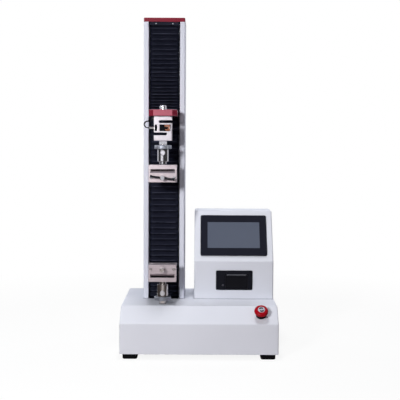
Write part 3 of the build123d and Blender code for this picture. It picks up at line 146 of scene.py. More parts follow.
white = add(tree, "ShaderNodeEmission", {"Color": WHITE, "Strength": 1.0})
both = add(tree, "ShaderNodeMixShader", {0: shows, 1: paper.outputs[0], 2: white.outputs[0]})
add(tree, "ShaderNodeOutputMaterial", {"Surface": both.outputs[0]})
floor_mesh = bpy.data.meshes.new("floor")
half = FLOOR_SIZE / 2
floor_corners = [(-half, -half, 0), (half, -half, 0), (half, half, 0), (-half, half, 0)]
floor_mesh.from_pydata(floor_corners, [], [(0, 1, 2, 3)])
floor_mesh.materials.append(sweep)
floor = bpy.data.objects.new("floor", floor_mesh)
scene.collection.objects.link(floor)

LAMP_AIM = Vector((-0.03, -0.05, 0.45))
for name, stand, size, power in (
        ("key_box", (-1.0, -2.25, 1.05), 0.36, 44.0),
        ("high_box", (-0.04, -0.10, 2.75), 0.3, 29.0),
        ("right_box", (1.9, -1.7, 1.3), 1.2, 2.0),
        ("rear_left_box", (-1.7, 1.8, 1.3), 1.0, 14.0),
        ("rear_right_box", (1.7, 1.8, 1.3), 1.0, 14.0)):
    lamp = bpy.data.lights.new(name, "AREA")
    lamp.size = size
    lamp.energy = power
    box = bpy.data.objects.new(name, lamp)
    box.location = stand
    box.rotation_euler = (LAMP_AIM - Vector(stand)).to_track_quat("-Z", "Y").to_euler()
    box.visible_camera = False
    box.visible_glossy = name != "high_box"
    scene.collection.objects.link(box)

LENS = 77.22
SENSOR = 36.0
CAMERA_AT = (0.0007, -2.5702, 0.5983)
CAMERA_PITCH = 3.49
CAMERA_ROLL = 0.3
lens = bpy.data.cameras.new("camera")
lens.sensor_width = SENSOR
lens.lens = LENS
camera = bpy.data.objects.new("camera", lens)
tilt = Matrix.Rotation(math.radians(90 - CAMERA_PITCH), 4, "X")
tilt = tilt @ Matrix.Rotation(math.radians(CAMERA_ROLL), 4, "Z")
camera.matrix_world = Matrix.Translation(CAMERA_AT) @ tilt
scene.collection.objects.link(camera)
scene.camera = camera

# Feet. Four moulded blocks of black rubber screwed under the corners of the base; dull, and a little
# paler at their edges, as wear and painted highlight.


def srgb(r, g, b):
    """Screen colour as the linear values that a shader takes."""
    return tuple(v / 12.92 if v <= 0.04045 else ((v + 0.055) / 1.055) ** 2.4
                 for v in (r / 255, g / 255, b / 255)) + (1.0,)


def effect(name, inputs, outputs):
    """Shader group with named sockets; gives its tree and its two end nodes."""
    group = bpy.data.node_groups.new(name, "ShaderNodeTree")
    for side, labels in (("INPUT", inputs), ("OUTPUT", outputs)):
        for label, kind in labels.items():
            group.interface.new_socket(label, in_out=side, socket_type="NodeSocket" + kind)
    return group, group.nodes.new("NodeGroupInput").outputs, group.nodes.new("NodeGroupOutput")


def tint(tree, factor, a, b):
    """Mix of two colours."""
    return add(tree, "ShaderNodeMix", {0: factor, 6: a, 7: b}, data_type="RGBA").outputs[2]


def deliver(group, end, results):
    """Joins the results of a group to its outputs."""
    for label, socket in results.items():
        group.links.new(socket, end.inputs[label])


# Shared effect: broad patches of a second shade, and fine grain for the relief.
mottle, given, end = effect("mottle", {"Colour": "Color", "Shade": "Color", "Patch": "Float", "Grain": "Float"},
                            {"Colour": "Color", "Spread": "Float", "Height": "Float"})
spot = add(mottle, "ShaderNodeTexCoord").outputs["Object"]
patch = add(mottle, "ShaderNodeTexNoise", {"Vector": spot, "Scale": given["Patch"], "Detail": 4.0}).outputs[0]
grain = add(mottle, "ShaderNodeTexNoise", {"Vector": spot, "Scale": given["Grain"], "Detail": 2.0}).outputs[0]
spread = shift(mottle, patch, 0.3, 0.7, 0.0, 1.0)
deliver(mottle, end, {"Colour": tint(mottle, spread, given["Colour"], given["Shade"]), "Spread": spread,
                      "Height": grain})

# Shared effect: the corners of a piece, rounded for the light, and a mask where finish() tints them as wear and
# painted highlight.
CORNER_TURN = (0.985, 0.82)
corners, given, end = effect("corners", {"Width": "Float"}, {"Mask": "Float", "Normal": "Vector"})
soft = add(corners, "ShaderNodeBevel", {"Radius": given["Width"]}, samples=4).outputs[0]
flat = add(corners, "ShaderNodeNewGeometry").outputs["Normal"]
near = add(corners, "ShaderNodeVectorMath", {0: soft, 1: flat}, operation="DOT_PRODUCT").outputs["Value"]
deliver(corners, end, {"Mask": shift(corners, near, *CORNER_TURN, 0.0, 1.0), "Normal": soft})

# Shared effect: how deep a point lies in a slot, a hole or a corner, where finish() paints shade.
RECESS_FULL = 0.45
recess, given, end = effect("recess", {"Reach": "Float", "Start": "Float"}, {"Mask": "Float"})
hollow = add(recess, "ShaderNodeAmbientOcclusion", {"Distance": given["Reach"]}, samples=8).outputs["AO"]
full = sums(recess, "MULTIPLY", given["Start"], RECESS_FULL)
deliver(recess, end, {"Mask": shift(recess, hollow, given["Start"], full, 0.0, 1.0)})


def place(tree, group, values):
    """Places a shared effect in a material with its own values."""
    node = tree.nodes.new("ShaderNodeGroup")
    node.node_tree = group
    for key, value in values.items():
        node.inputs[key].default_value = value
    return node.outputs


def finish(name, group, values, rough, relief, width, wear_and_highlight, wear_and_highlight_colour, painted_shade=None, **plain):
    """Material on a shared effect: roughness between two values, fine relief, corners lightened as wear and
    painted highlight and, given a reach, start, strength and colour, painted shade darkening the hollows."""
    material = bpy.data.materials.new(name)
    material.use_nodes = True
    tree = material.node_tree
    shader = tree.nodes["Principled BSDF"]
    surface = place(tree, group, values)
    corner = place(tree, corners, {"Width": width})
    # wear and painted highlight: corners tinted towards a second colour
    worn_and_lit = sums(tree, "MULTIPLY", corner["Mask"], wear_and_highlight)
    colour = tint(tree, worn_and_lit, surface["Colour"], wear_and_highlight_colour)
    # painted shade: hollows darkened towards the given colour
    if painted_shade:
        shaded = place(tree, recess, {"Reach": painted_shade[0], "Start": painted_shade[1]})["Mask"]
        colour = tint(tree, sums(tree, "MULTIPLY", shaded, painted_shade[2]), colour, painted_shade[3])
    tree.links.new(colour, shader.inputs["Base Color"])
    tree.links.new(shift(tree, surface["Spread"], 0.0, 1.0, *rough), shader.inputs["Roughness"])
    bump = add(tree, "ShaderNodeBump", {"Strength": relief[0], "Distance": relief[1],
                                        "Height": surface["Height"], "Normal": corner["Normal"]})
    tree.links.new(bump.outputs[0], shader.inputs["Normal"])
    for label, value in plain.items():
        shader.inputs[label.replace("_", " ")].default_value = value
    return material


def dress(material, *nodes):
    """Gives CAD nodes a finish."""
    for node in nodes:
        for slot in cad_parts[node].material_slots:
            slot.material = material


black_rubber = finish("moulded_rubber", mottle, {"Colour": srgb(4, 4, 6), "Shade": srgb(7, 7, 9),
                                                 "Patch": 60.0, "Grain": 2500.0},
                      (0.62, 0.78), (0.25, 0.0002), 0.0012, 0.4, srgb(16, 16, 19), Specular_IOR_Level=0.06)
dress(black_rubber, "feet")

# Base housing. Folded steel sheet, powder coated in a cool semi-gloss white with a faint orange peel;
# the bends are soft and catch a line of light. A zinc-plated floor plate closes it from below.
# painted shade: creases and seams darkened towards blue-grey; edges lightened as wear and painted highlight
white_paint = finish("white_powder_coat", mottle, {"Colour": srgb(223, 225, 234), "Shade": srgb(218, 220, 229),
                                                   "Patch": 5.0, "Grain": 700.0},
                     (0.40, 0.46), (0.03, 0.0002), 0.0015, 0.35, srgb(234, 236, 243),
                     (0.006, 0.8, 0.85, srgb(92, 98, 110)), Specular_IOR_Level=0.45)
dress(white_paint, "base_housing")
zinc_plate = finish("zinc_plate", mottle, {"Colour": srgb(150, 152, 156), "Shade": srgb(128, 130, 136),
                                           "Patch": 30.0, "Grain": 1200.0},
                    (0.35, 0.5), (0.05, 0.0002), 0.001, 0.4, srgb(190, 190, 194), Metallic=1.0)
dress(zinc_plate, "base_plate")

# Drive in the base. A grey cast bed on four legs carries the column, a black servo motor turns the
# ball screw's aluminium pulley through a rubber belt, and the screw runs in two cast bearing blocks.
cast_grey = finish("cast_grey", mottle, {"Colour": srgb(96, 99, 104), "Shade": srgb(82, 85, 90),
                                         "Patch": 40.0, "Grain": 900.0},
                   (0.55, 0.7), (0.5, 0.0004), 0.002, 0.4, srgb(130, 132, 136))
dress(cast_grey, "bed_casting", "lower_bearing", "upper_bearing")
black_enamel = finish("motor_enamel", mottle, {"Colour": srgb(24, 24, 27), "Shade": srgb(32, 32, 36),
                                               "Patch": 25.0, "Grain": 1500.0},
                      (0.4, 0.5), (0.15, 0.0002), 0.0015, 0.5, srgb(70, 70, 76))
dress(black_enamel, "drive_motor")
dress(black_rubber, "drive_belt")

# Shared effect: fine lines left by brushing or turning, drawn out along one axis of the piece.
brushing, given, end = effect("brushing", {"Colour": "Color", "Shade": "Color", "Stretch": "Vector"},
                              {"Colour": "Color", "Spread": "Float", "Height": "Float"})
spot = add(brushing, "ShaderNodeTexCoord").outputs["Object"]
drawn = add(brushing, "ShaderNodeVectorMath", {0: spot, 1: given["Stretch"]}, operation="MULTIPLY").outputs[0]
lines = add(brushing, "ShaderNodeTexNoise", {"Vector": drawn, "Scale": 1.0, "Detail": 5.0}).outputs[0]
cloud = add(brushing, "ShaderNodeTexNoise", {"Vector": spot, "Scale": 45.0, "Detail": 2.0}).outputs[0]
spread = shift(brushing, sums(brushing, "MULTIPLY_ADD", cloud, 0.5, lines), 0.5, 1.0, 0.0, 1.0)
deliver(brushing, end, {"Colour": tint(brushing, spread, given["Colour"], given["Shade"]), "Spread": spread,
                        "Height": lines})

bare_aluminium = finish("satin_aluminium", brushing,
                        {"Colour": srgb(196, 198, 202), "Shade": srgb(174, 176, 181),
                         "Stretch": (900.0, 900.0, 12.0)},
                        (0.34, 0.48), (0.06, 0.0001), 0.0008, 0.5, srgb(222, 223, 226), Metallic=1.0)
dress(bare_aluminium, "motor_pulley", "screw_pulley", "column_core", "ball_nut")
# painted shade: hollows darkened towards dark brown
polished_steel = finish("turned_steel", brushing, {"Colour": srgb(206, 201, 199), "Shade": srgb(178, 172, 169),
                                                   "Stretch": (40.0, 40.0, 1800.0)},
                        (0.10, 0.18), (0.04, 0.0001), 0.0007, 0.5, srgb(232, 231, 231),
                        (0.006, 0.8, 0.8, srgb(40, 34, 32)), Metallic=1.0)
dress(polished_steel, "lead_screw", "guide_rails", "guide_blocks")

# Power inlet. A black moulded plastic inlet with three blades and a rocker switch beside them, snapped
# into a cut-out of the rear wall.
black_plastic = finish("moulded_black", mottle, {"Colour": srgb(11, 12, 21), "Shade": srgb(14, 15, 24),
                                                 "Patch": 40.0, "Grain": 2600.0},
                       (0.36, 0.46), (0.10, 0.0001), 0.0008, 0.4, srgb(38, 39, 50), Specular_IOR_Level=0.12)
dress(black_plastic, "power_inlet", "power_rocker")

# Column. Two hollow side profiles and a rear sheet, all painted white, stand round the aluminium core; a
# plate painted red caps them. Small steel pan-head screws hold the rear sheet.
# painted shade: creases and seams darkened towards blue-grey; edges lightened as wear and painted highlight
profile_paint = finish("white_profile_paint", mottle,
                       {"Colour": srgb(222, 224, 237), "Shade": srgb(217, 219, 232),
                        "Patch": 5.0, "Grain": 700.0},
                       (0.40, 0.46), (0.03, 0.0002), 0.0012, 0.35, srgb(226, 228, 238),
                       (0.006, 0.8, 0.85, srgb(92, 98, 110)), Specular_IOR_Level=0.45)
dress(profile_paint, "column_side_left", "column_side_right", "column_back")
# painted highlight: edges tinted pale pink
red_paint = finish("red_cap_paint", mottle, {"Colour": srgb(136, 12, 44), "Shade": srgb(126, 8, 38),
                                            "Patch": 20.0, "Grain": 1200.0},
                   (0.34, 0.42), (0.05, 0.0002), 0.0010, 0.2, srgb(176, 80, 100), Specular_IOR_Level=0.2)
dress(red_paint, "top_cap")
bright_steel = finish("ground_steel", brushing, {"Colour": srgb(214, 211, 214), "Shade": srgb(194, 190, 194),
                                                 "Stretch": (60.0, 60.0, 1200.0)},
                      (0.24, 0.36), (0.05, 0.0001), 0.0007, 0.5, srgb(238, 236, 238), Metallic=1.0)


def pan_screw(d, h):
    """Pan head with a cross recess, its seat at z = 0 and its crown up."""
    shell = bmesh.new()
    rings = ((1.0, 0.0), (1.0, 0.45), (0.9, 0.75), (0.68, 0.93), (0.42, 1.0))
    count = 24
    arm, waist, taper, recess_floor = 0.34, 0.13, 0.8, 0.45
    rows = [[shell.verts.new((d / 2 * r * math.cos(2 * math.pi * k / count),
                              d / 2 * r * math.sin(2 * math.pi * k / count), h * z)) for k in range(count)]
            for r, z in rings]
    for low, high in zip(rows, rows[1:]):
        for k in range(count):
            shell.faces.new((low[k], low[(k + 1) % count], high[(k + 1) % count], high[k]))
    shell.faces.new(list(reversed(rows[0])))
    crown = []
    for k in range(count):
        a = 2 * math.pi * k / count
        reach = arm if k % (count // 4) == 0 else waist
        crown.append(shell.verts.new((d / 2 * reach * math.cos(a), d / 2 * reach * math.sin(a), h)))
    floor_ring = [shell.verts.new((v.co.x * taper, v.co.y * taper, h * recess_floor)) for v in crown]
    for k in range(count):
        n = (k + 1) % count
        shell.faces.new((rows[-1][k], rows[-1][n], crown[n], crown[k]))
        shell.faces.new((crown[k], crown[n], floor_ring[n], floor_ring[k]))
    shell.faces.new(floor_ring)
    bmesh.ops.recalc_face_normals(shell, faces=shell.faces)
    mesh = bpy.data.meshes.new("pan_screw")
    shell.to_mesh(mesh)
    shell.free()
    return mesh


def plain_mesh(source, name):
    """Evaluated mesh of an object as a new plain piece; the source object goes."""
    bpy.context.view_layer.update()
    mesh = bpy.data.meshes.new_from_object(source.evaluated_get(bpy.context.evaluated_depsgraph_get()))
    bpy.data.objects.remove(source)
    piece = bpy.data.objects.new(name, mesh)
    scene.collection.objects.link(piece)
    return piece


def nodes_tree(name, inputs):
    """Geometry Nodes tree with named inputs and one mesh out."""
    tree = bpy.data.node_groups.new(name, "GeometryNodeTree")
    for label, kind in inputs.items():
        tree.interface.new_socket(label, in_out="INPUT", socket_type="NodeSocket" + kind)
    tree.interface.new_socket("Geometry", in_out="OUTPUT", socket_type="NodeSocketGeometry")
    return tree, tree.nodes.new("NodeGroupInput").outputs, tree.nodes.new("NodeGroupOutput").inputs


def grown(tree, name, values):
    """Runs a tree on an empty mesh and keeps the result as a plain piece."""
    holder = bpy.data.objects.new(name + "_holder", bpy.data.meshes.new(name + "_holder"))
    scene.collection.objects.link(holder)
    run = holder.modifiers.new("grow", "NODES")
    run.node_group = tree
    for item in tree.interface.items_tree:
        if item.in_out == "INPUT":
            run[item.identifier] = values[item.name]
    piece = plain_mesh(holder, name)
    piece.data.materials.clear()
    piece.data.materials.append(values["Finish"])
    piece.data.polygons.foreach_set("material_index", [0] * len(piece.data.polygons))
    return piece


def close_tree(tree, geometry, given, out):
    """Ends a tree: its real mesh in the piece's finish."""
    coloured = add(tree, "GeometryNodeSetMaterial", {"Geometry": geometry, "Material": given["Finish"]})
    tree.links.new(coloured.outputs[0], out[0])


# Fasteners in rows and columns: a screw on each point of a grid that faces one way.
QUARTER_TURN = 1.57
SCREW_SEED = 4
screw_rows, given, out = nodes_tree("screw_rows", {
    "Screw": "Object", "Across": "Int", "Up": "Int", "Width": "Float", "Height": "Float",
    "Middle": "Vector", "Turn": "Vector", "Finish": "Material"})
points = add(screw_rows, "GeometryNodeMeshGrid", {"Size X": given["Width"], "Size Y": given["Height"],
                                                  "Vertices X": given["Across"], "Vertices Y": given["Up"]})
one = add(screw_rows, "GeometryNodeObjectInfo", {"Object": given["Screw"]})
turned = add(screw_rows, "FunctionNodeRandomValue",
             {"Min": (0.0, 0.0, 0.0), "Max": (0.0, 0.0, QUARTER_TURN), "Seed": SCREW_SEED},
             data_type="FLOAT_VECTOR")
spots = add(screw_rows, "GeometryNodeInstanceOnPoints", {"Points": points.outputs[0],
                                                         "Instance": one.outputs["Geometry"],
                                                         "Rotation": turned.outputs[0]})
solid = add(screw_rows, "GeometryNodeRealizeInstances", {0: spots.outputs[0]})
stood = add(screw_rows, "GeometryNodeTransform", {"Geometry": solid.outputs[0], "Translation": given["Middle"],
                                                  "Rotation": given["Turn"]})
close_tree(screw_rows, stood.outputs[0], given, out)


def screws(name, mesh, count, span, middle, turn, material, body):
    """Rows of one screw, so many across and up over a span, as a piece that rides on a body."""
    sample = bpy.data.objects.new(name + "_sample", mesh)
    scene.collection.objects.link(sample)
    piece = grown(screw_rows, name, {
        "Screw": sample, "Across": count[0], "Up": count[1], "Width": span[0], "Height": span[1],
        "Middle": middle, "Turn": turn, "Finish": material})
    bpy.data.objects.remove(sample)
    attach(piece, body)
    return piece


FACE_FRONT = (math.pi / 2, 0.0, 0.0)
FACE_REAR = (-math.pi / 2, 0.0, 0.0)
COVER_SCREW_D = 0.007
COVER_SCREW_H = 0.0024
BACK_SCREWS = (2, 6)
BACK_SPAN = (0.106, 0.78)
back_low, back_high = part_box("column_back")
column_x = (back_low.x + back_high.x) / 2
back_middle = (column_x, back_high.y, (back_low.z + back_high.z) / 2)
cover_screw = pan_screw(COVER_SCREW_D, COVER_SCREW_H)
screws("column_back_screws", cover_screw, BACK_SCREWS, BACK_SPAN, back_middle, FACE_REAR, bright_steel,
       "frame")

# Bellows. Two black coated-cloth curtains, pleated and pressed, close the slot of the column above and
# below the arm. Their pleats are wide near one end and tight near the other, with clipped corners; two
# zinc-plated screws hold the upper one's top strip.
WEAVE = 1400.0 / 6.2832
cloth = bpy.data.materials.new("pleated_cloth")
cloth.use_nodes = True
tree = cloth.node_tree
shader = tree.nodes["Principled BSDF"]
laid = add(tree, "ShaderNodeAttribute", attribute_name="weave").outputs["Vector"]
warp = add(tree, "ShaderNodeTexWave", {"Vector": laid, "Scale": WEAVE}, bands_direction="X").outputs[1]
weft = add(tree, "ShaderNodeTexWave", {"Vector": laid, "Scale": WEAVE}, bands_direction="Y").outputs[1]
threads = sums(tree, "MULTIPLY", warp, weft)
spot = add(tree, "ShaderNodeTexCoord").outputs["Object"]
rubbed = add(tree, "ShaderNodeTexNoise", {"Vector": spot, "Scale": 35.0, "Detail": 4.0}).outputs[0]
fold = add(tree, "ShaderNodeAttribute", attribute_name="fold").outputs["Fac"]
# wear and painted highlight: pleat ridges lightened towards pale blue-grey
worn_and_lit = sums(tree, "MULTIPLY", shift(tree, fold, 0.88, 0.97, 0.0, 1.0), shift(tree, rubbed, 0.3, 0.7, 0.35, 0.9))
base = tint(tree, shift(tree, rubbed, 0.3, 0.7, 0.0, 1.0), srgb(28, 30, 43), srgb(36, 38, 52))
tree.links.new(tint(tree, worn_and_lit, base, srgb(84, 88, 104)), shader.inputs["Base Color"])
tree.links.new(shift(tree, worn_and_lit, 0.0, 1.0, 0.55, 0.36), shader.inputs["Roughness"])
bump = add(tree, "ShaderNodeBump", {"Strength": 0.12, "Distance": 0.0002, "Height": threads})
tree.links.new(bump.outputs[0], shader.inputs["Normal"])
shader.inputs["Specular IOR Level"].default_value = 0.06

STEPS = 10
COLUMNS = 25
NUDGE = 0.00001
FOLD_RISE = 1.06
FOLD_ROUND = 0.14
WANDER_STEP = 3.7
WANDER_SCALE = 2.2
CLIP_DEPTH = 0.25
GIVE_CHANCE = 0.05
GIVE_WANDER = 0.06
DROOP = 0.003
PLEAT_RUN = 0.032
curtain, given, out = nodes_tree("pleated_curtain", {
    "Middle": "Float", "Width": "Float", "Wide End": "Float", "Tight End": "Float", "Pleats": "Int",
    "Ratio": "Float", "Front": "Float", "Back": "Float", "Corner": "Float", "Seed": "Float",
    "Finish": "Material"})
rows = sums(curtain, "MULTIPLY_ADD", given["Pleats"], STEPS, 1.0)
grid = add(curtain, "GeometryNodeMeshGrid",
           {"Size X": 1.0, "Size Y": 1.0, "Vertices X": COLUMNS, "Vertices Y": rows})
at = add(curtain, "ShaderNodeSeparateXYZ", {0: add(curtain, "GeometryNodeInputPosition").outputs[0]}).outputs
along = sums(curtain, "MULTIPLY", sums(curtain, "ADD", at["Y"], 0.5), given["Pleats"])
along = sums(curtain, "ADD", along, NUDGE)
number = sums(curtain, "FLOOR", along)
part = sums(curtain, "FRACT", along)
last = sums(curtain, "SUBTRACT", given["Pleats"], 1.0)
fall = sums(curtain, "SUBTRACT", 1.0, given["Ratio"])
weight = sums(curtain, "MULTIPLY_ADD", sums(curtain, "DIVIDE", number, last), fall, given["Ratio"])
pairs = sums(curtain, "MULTIPLY", number, sums(curtain, "SUBTRACT", number, 1.0))
before = sums(curtain, "DIVIDE", sums(curtain, "MULTIPLY", pairs, fall), sums(curtain, "MULTIPLY", last, 2.0))
before = sums(curtain, "MULTIPLY_ADD", number, given["Ratio"], before)
before = sums(curtain, "MULTIPLY_ADD", weight, part, before)
whole = sums(curtain, "MULTIPLY", given["Pleats"], sums(curtain, "MULTIPLY_ADD", given["Ratio"], 0.5, 0.5))
share = sums(curtain, "DIVIDE", before, whole)
height = sums(curtain, "MULTIPLY_ADD", share, sums(curtain, "SUBTRACT", given["Tight End"], given["Wide End"]),
              given["Wide End"])
peak = sums(curtain, "SUBTRACT", 1.0, sums(curtain, "ABSOLUTE", sums(curtain, "MULTIPLY_ADD", part, 2.0, -1.0)))
peak = sums(curtain, "SMOOTH_MIN", sums(curtain, "MULTIPLY", peak, FOLD_RISE), 1.0, FOLD_ROUND)
which = sums(curtain, "ADD", number, given["Seed"])
chance = add(curtain, "ShaderNodeTexWhiteNoise", {"W": which}, noise_dimensions="1D").outputs["Value"]
sideways = add(curtain, "ShaderNodeCombineXYZ", {0: at["X"]}).outputs[0]
wander = add(curtain, "ShaderNodeTexNoise",
             {"W": sums(curtain, "MULTIPLY", which, WANDER_STEP), "Scale": WANDER_SCALE, "Vector": sideways},
             noise_dimensions="4D").outputs[0]
from_edge = sums(curtain, "SUBTRACT", 0.5, sums(curtain, "ABSOLUTE", at["X"]))
from_edge = sums(curtain, "MULTIPLY", from_edge, given["Width"])
clip = add(curtain, "ShaderNodeMapRange",
           {0: sums(curtain, "DIVIDE", from_edge, given["Corner"]), 3: CLIP_DEPTH, 4: 1.0},
           interpolation_type="SMOOTHSTEP").outputs[0]
deep = sums(curtain, "MULTIPLY", peak, clip)
slack = sums(curtain, "MULTIPLY_ADD", chance, GIVE_CHANCE, sums(curtain, "MULTIPLY", wander, GIVE_WANDER))
deep = sums(curtain, "MULTIPLY", deep, sums(curtain, "SUBTRACT", 1.0, slack))
forward = sums(curtain, "SUBTRACT", given["Front"], given["Back"])
depth = sums(curtain, "MULTIPLY_ADD", deep, forward, given["Back"])
droop = sums(curtain, "MULTIPLY", sums(curtain, "SUBTRACT", wander, 0.5), sums(curtain, "MULTIPLY", deep, DROOP))
spot = add(curtain, "ShaderNodeCombineXYZ", {
    0: sums(curtain, "MULTIPLY_ADD", at["X"], given["Width"], given["Middle"]), 1: depth,
    2: sums(curtain, "ADD", height, droop)}).outputs[0]
run = sums(curtain, "MULTIPLY", along, PLEAT_RUN)
across = sums(curtain, "MULTIPLY", at["X"], given["Width"])
noted = add(curtain, "GeometryNodeStoreNamedAttribute", {
    "Geometry": grid.outputs[0], "Name": "weave",
    "Value": add(curtain, "ShaderNodeCombineXYZ", {0: across, 1: run}).outputs[0]},
    data_type="FLOAT_VECTOR", domain="POINT")
noted = add(curtain, "GeometryNodeStoreNamedAttribute",
            {"Geometry": noted.outputs[0], "Name": "fold", "Value": deep}, data_type="FLOAT", domain="POINT")
moved = add(curtain, "GeometryNodeSetPosition", {"Geometry": noted.outputs[0], "Position": spot})
smooth = add(curtain, "GeometryNodeSetShadeSmooth", {"Geometry": moved.outputs[0], "Shade Smooth": True})
one = add(curtain, "GeometryNodeRealizeInstances", {0: smooth.outputs[0]})
close_tree(curtain, one.outputs[0], given, out)

CLOTH_PLY = 0.0008
CLOTH_BACK = 0.0012
CLIPPED = 0.006
STRIP_EDGE = 0.0005


def strip(shell, low, high, edge):
    """Adds a stiff strip with broken edges to a mesh."""
    made = bmesh.ops.create_cube(shell, size=1.0)["verts"]
    for v in made:
        v.co = Vector([(a + b) / 2 + c * (b - a) for a, b, c in zip(low, high, v.co)])
    edges = {e for v in made for e in v.link_edges}
    bmesh.ops.bevel(shell, geom=list(edges), offset=edge, segments=2, affect="EDGES")


def bellows(name, wide, tight, pleats, ratio, seed, strips):
    """One curtain with its end strips, between the column and the crosshead."""
    low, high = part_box(name)
    middle = (low.x + high.x) / 2
    piece = grown(curtain, name + "_cloth", {
        "Middle": middle, "Width": high.x - low.x, "Wide End": wide, "Tight End": tight, "Pleats": pleats,
        "Ratio": ratio, "Front": low.y, "Back": high.y - CLOTH_BACK, "Corner": CLIPPED, "Seed": seed,
        "Finish": cloth})
    ply = piece.modifiers.new("ply", "SOLIDIFY")
    ply.thickness = CLOTH_PLY
    ply.offset = 0.0
    piece = plain_mesh(piece, name + "_cloth")
    shell = bmesh.new()
    shell.from_mesh(piece.data)
    for z0, z1 in strips:
        strip(shell, (low.x, low.y, z0), (high.x, high.y, z1), STRIP_EDGE)
    shell.to_mesh(piece.data)
    shell.free()
    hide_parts(name)
    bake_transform(piece)
    return piece


upper_low, upper_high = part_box("bellows_upper")
lower_low, lower_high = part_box("bellows_lower")
TAB = 0.010
HEM = 0.002
UPPER_PLEATS, UPPER_RATIO, UPPER_SEED = 21, 2.2, 3.0
LOWER_PLEATS, LOWER_RATIO, LOWER_SEED = 31, 1.4, 17.0
bellows("bellows_upper", upper_high.z - TAB, upper_low.z + HEM, UPPER_PLEATS, UPPER_RATIO, UPPER_SEED,
        ((upper_high.z - TAB, upper_high.z), (upper_low.z, upper_low.z + HEM)))
bellows("bellows_lower", lower_high.z - HEM, lower_low.z + HEM, LOWER_PLEATS, LOWER_RATIO, LOWER_SEED,
        ((lower_high.z - HEM, lower_high.z), (lower_low.z, lower_low.z + HEM)))
tab_low, tab_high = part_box("bellows_screws")
TAB_SCREW_D = 0.005
TAB_SCREW_H = 0.002
TAB_SCREWS = (2, 1)
TAB_SPAN = (0.050, 0.0)
tab_middle = (column_x, tab_high.y, (tab_low.z + tab_high.z) / 2)
tab_screws = screws("bellows_tab_screws", pan_screw(TAB_SCREW_D, TAB_SCREW_H), TAB_SCREWS, TAB_SPAN, tab_middle,
                    FACE_FRONT, zinc_plate, "frame")
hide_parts("bellows_screws")

# Crosshead. A red anodised aluminium arm is bolted to a carriage that runs on the rails inside the
# column; black cap screws hold it.
# painted highlight: corners tinted pale pink
red_metal = finish("red_anodising", brushing, {"Colour": srgb(162, 1, 50), "Shade": srgb(146, 0, 42),
                                               "Stretch": (14.0, 900.0, 900.0)},
                   (0.36, 0.48), (0.06, 0.0001), 0.0012, 0.3, srgb(226, 140, 165),
                   Metallic=0.3, Specular_IOR_Level=0.1, Coat_Weight=1.0, Coat_IOR=2.15, Coat_Roughness=0.14)
dress(red_metal, "crosshead_arm")
dark_steel = finish("black_oxide", mottle, {"Colour": srgb(52, 52, 56), "Shade": srgb(42, 42, 46),
                                           "Patch": 90.0, "Grain": 2500.0},
                    (0.35, 0.45), (0.08, 0.0001), 0.0006, 0.5, srgb(110, 110, 116), Metallic=1.0)
dress(dark_steel, "arm_bolts", "carriage_plate")

# Load cell. A milled S-shaped beam of satin aluminium alloy hangs from the arm on one cap screw. Strain
# gauges sit in its window under copper-brown potting, and a short lead leaves its side through a gland.
# painted shade: hollows darkened nearly black
cell_alloy = finish("cell_alloy", brushing, {"Colour": srgb(186, 180, 184), "Shade": srgb(172, 165, 170),
                                             "Stretch": (500.0, 500.0, 40.0)},
                    (0.32, 0.44), (0.04, 0.0001), 0.0008, 0.5, srgb(228, 225, 228),
                    (0.006, 0.8, 0.9, srgb(30, 28, 30)), Metallic=1.0)
dress(cell_alloy, "load_cell")
dress(bright_steel, "load_cell_screw")
dress(polished_steel, "cable_gland")

cell_low, cell_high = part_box("load_cell")
cell_x = (cell_low.x + cell_high.x) / 2
WINDOW_FLOOR = 0.008
POCKET_FLOOR = 0.004
SHADE_SHEET_X = 0.00625
SHADE_SHEET_SIZE = (0.0312, 0.0012, 0.0182)
SHADE_SHEET_SEED = 0.4
POTTING_LIFT = 0.0008
POTTING_H = 0.0034
POTTING_SEED = 2.1
POTTING_VARY = 300
SEALING_X = -0.020
SEALING_SIZE = (0.0066, 0.0016, 0.0176)
SEALING_SEED = 1.2
LUMP_FULL = 0.75
LUMP_WAVE = 0.25
LUMP_SINK = 0.0002
potting = finish("potting", mottle, {"Colour": srgb(196, 128, 96), "Shade": srgb(120, 66, 46),
                                     "Patch": 190.0, "Grain": 900.0},
                 (0.25, 0.4), (0.3, 0.0004), 0.0008, 0.3, srgb(226, 170, 140), Coat_Weight=0.3)
# painted shade: near-black finish for the sheet on the window floor and the lump at the lead pocket
gauge_shadow = finish("cell_shade_black", mottle, {"Colour": srgb(3, 4, 9), "Shade": srgb(6, 7, 13),
                                                "Patch": 150.0, "Grain": 1600.0},
                      (0.35, 0.5), (0.2, 0.0003), 0.0008, 0.2, srgb(22, 22, 28), Specular_IOR_Level=0.05)


def lump(name, middle, size, material, seed, toward, lean):
    """Lump on the floor of the window, for the poured potting and for the sheets of painted shade: domed,
    uneven, flat where it sits.
    """
    shell = bmesh.new()
    bmesh.ops.create_grid(shell, x_segments=26, y_segments=18, size=1.0)
    for v in shell.verts:
        u, w = v.co.x, v.co.y
        edge = max(abs(u), abs(w))
        wave = LUMP_WAVE * math.sin(3.1 * u + seed) * math.cos(2.7 * w + 1.3 * seed)
        dome = max(0.0, 1 - edge ** 4) * (LUMP_FULL + wave)
        u += lean * -w * (1 - u) / 2
        v.co = Vector((middle[0] + u * size[0] / 2, middle[1] + toward * dome * size[1],
                       middle[2] + w * size[2] / 2))
    rim = [e for e in shell.edges if e.is_boundary]
    made = bmesh.ops.extrude_edge_only(shell, edges=rim)["geom"]
    ring = [v for v in made if isinstance(v, bmesh.types.BMVert)]
    for v in ring:
        v.co.y = middle[1] - toward * LUMP_SINK
    bmesh.ops.contextual_create(shell, geom=[e for e in shell.edges if e.is_boundary])
    bmesh.ops.recalc_face_normals(shell, faces=shell.faces)
    for f in shell.faces:
        f.smooth = True
    mesh = bpy.data.meshes.new(name)
    shell.to_mesh(mesh)
    shell.free()
    mesh.materials.append(material)
    piece = bpy.data.objects.new(name, mesh)
    scene.collection.objects.link(piece)
    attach(piece, "crosshead")
    return piece


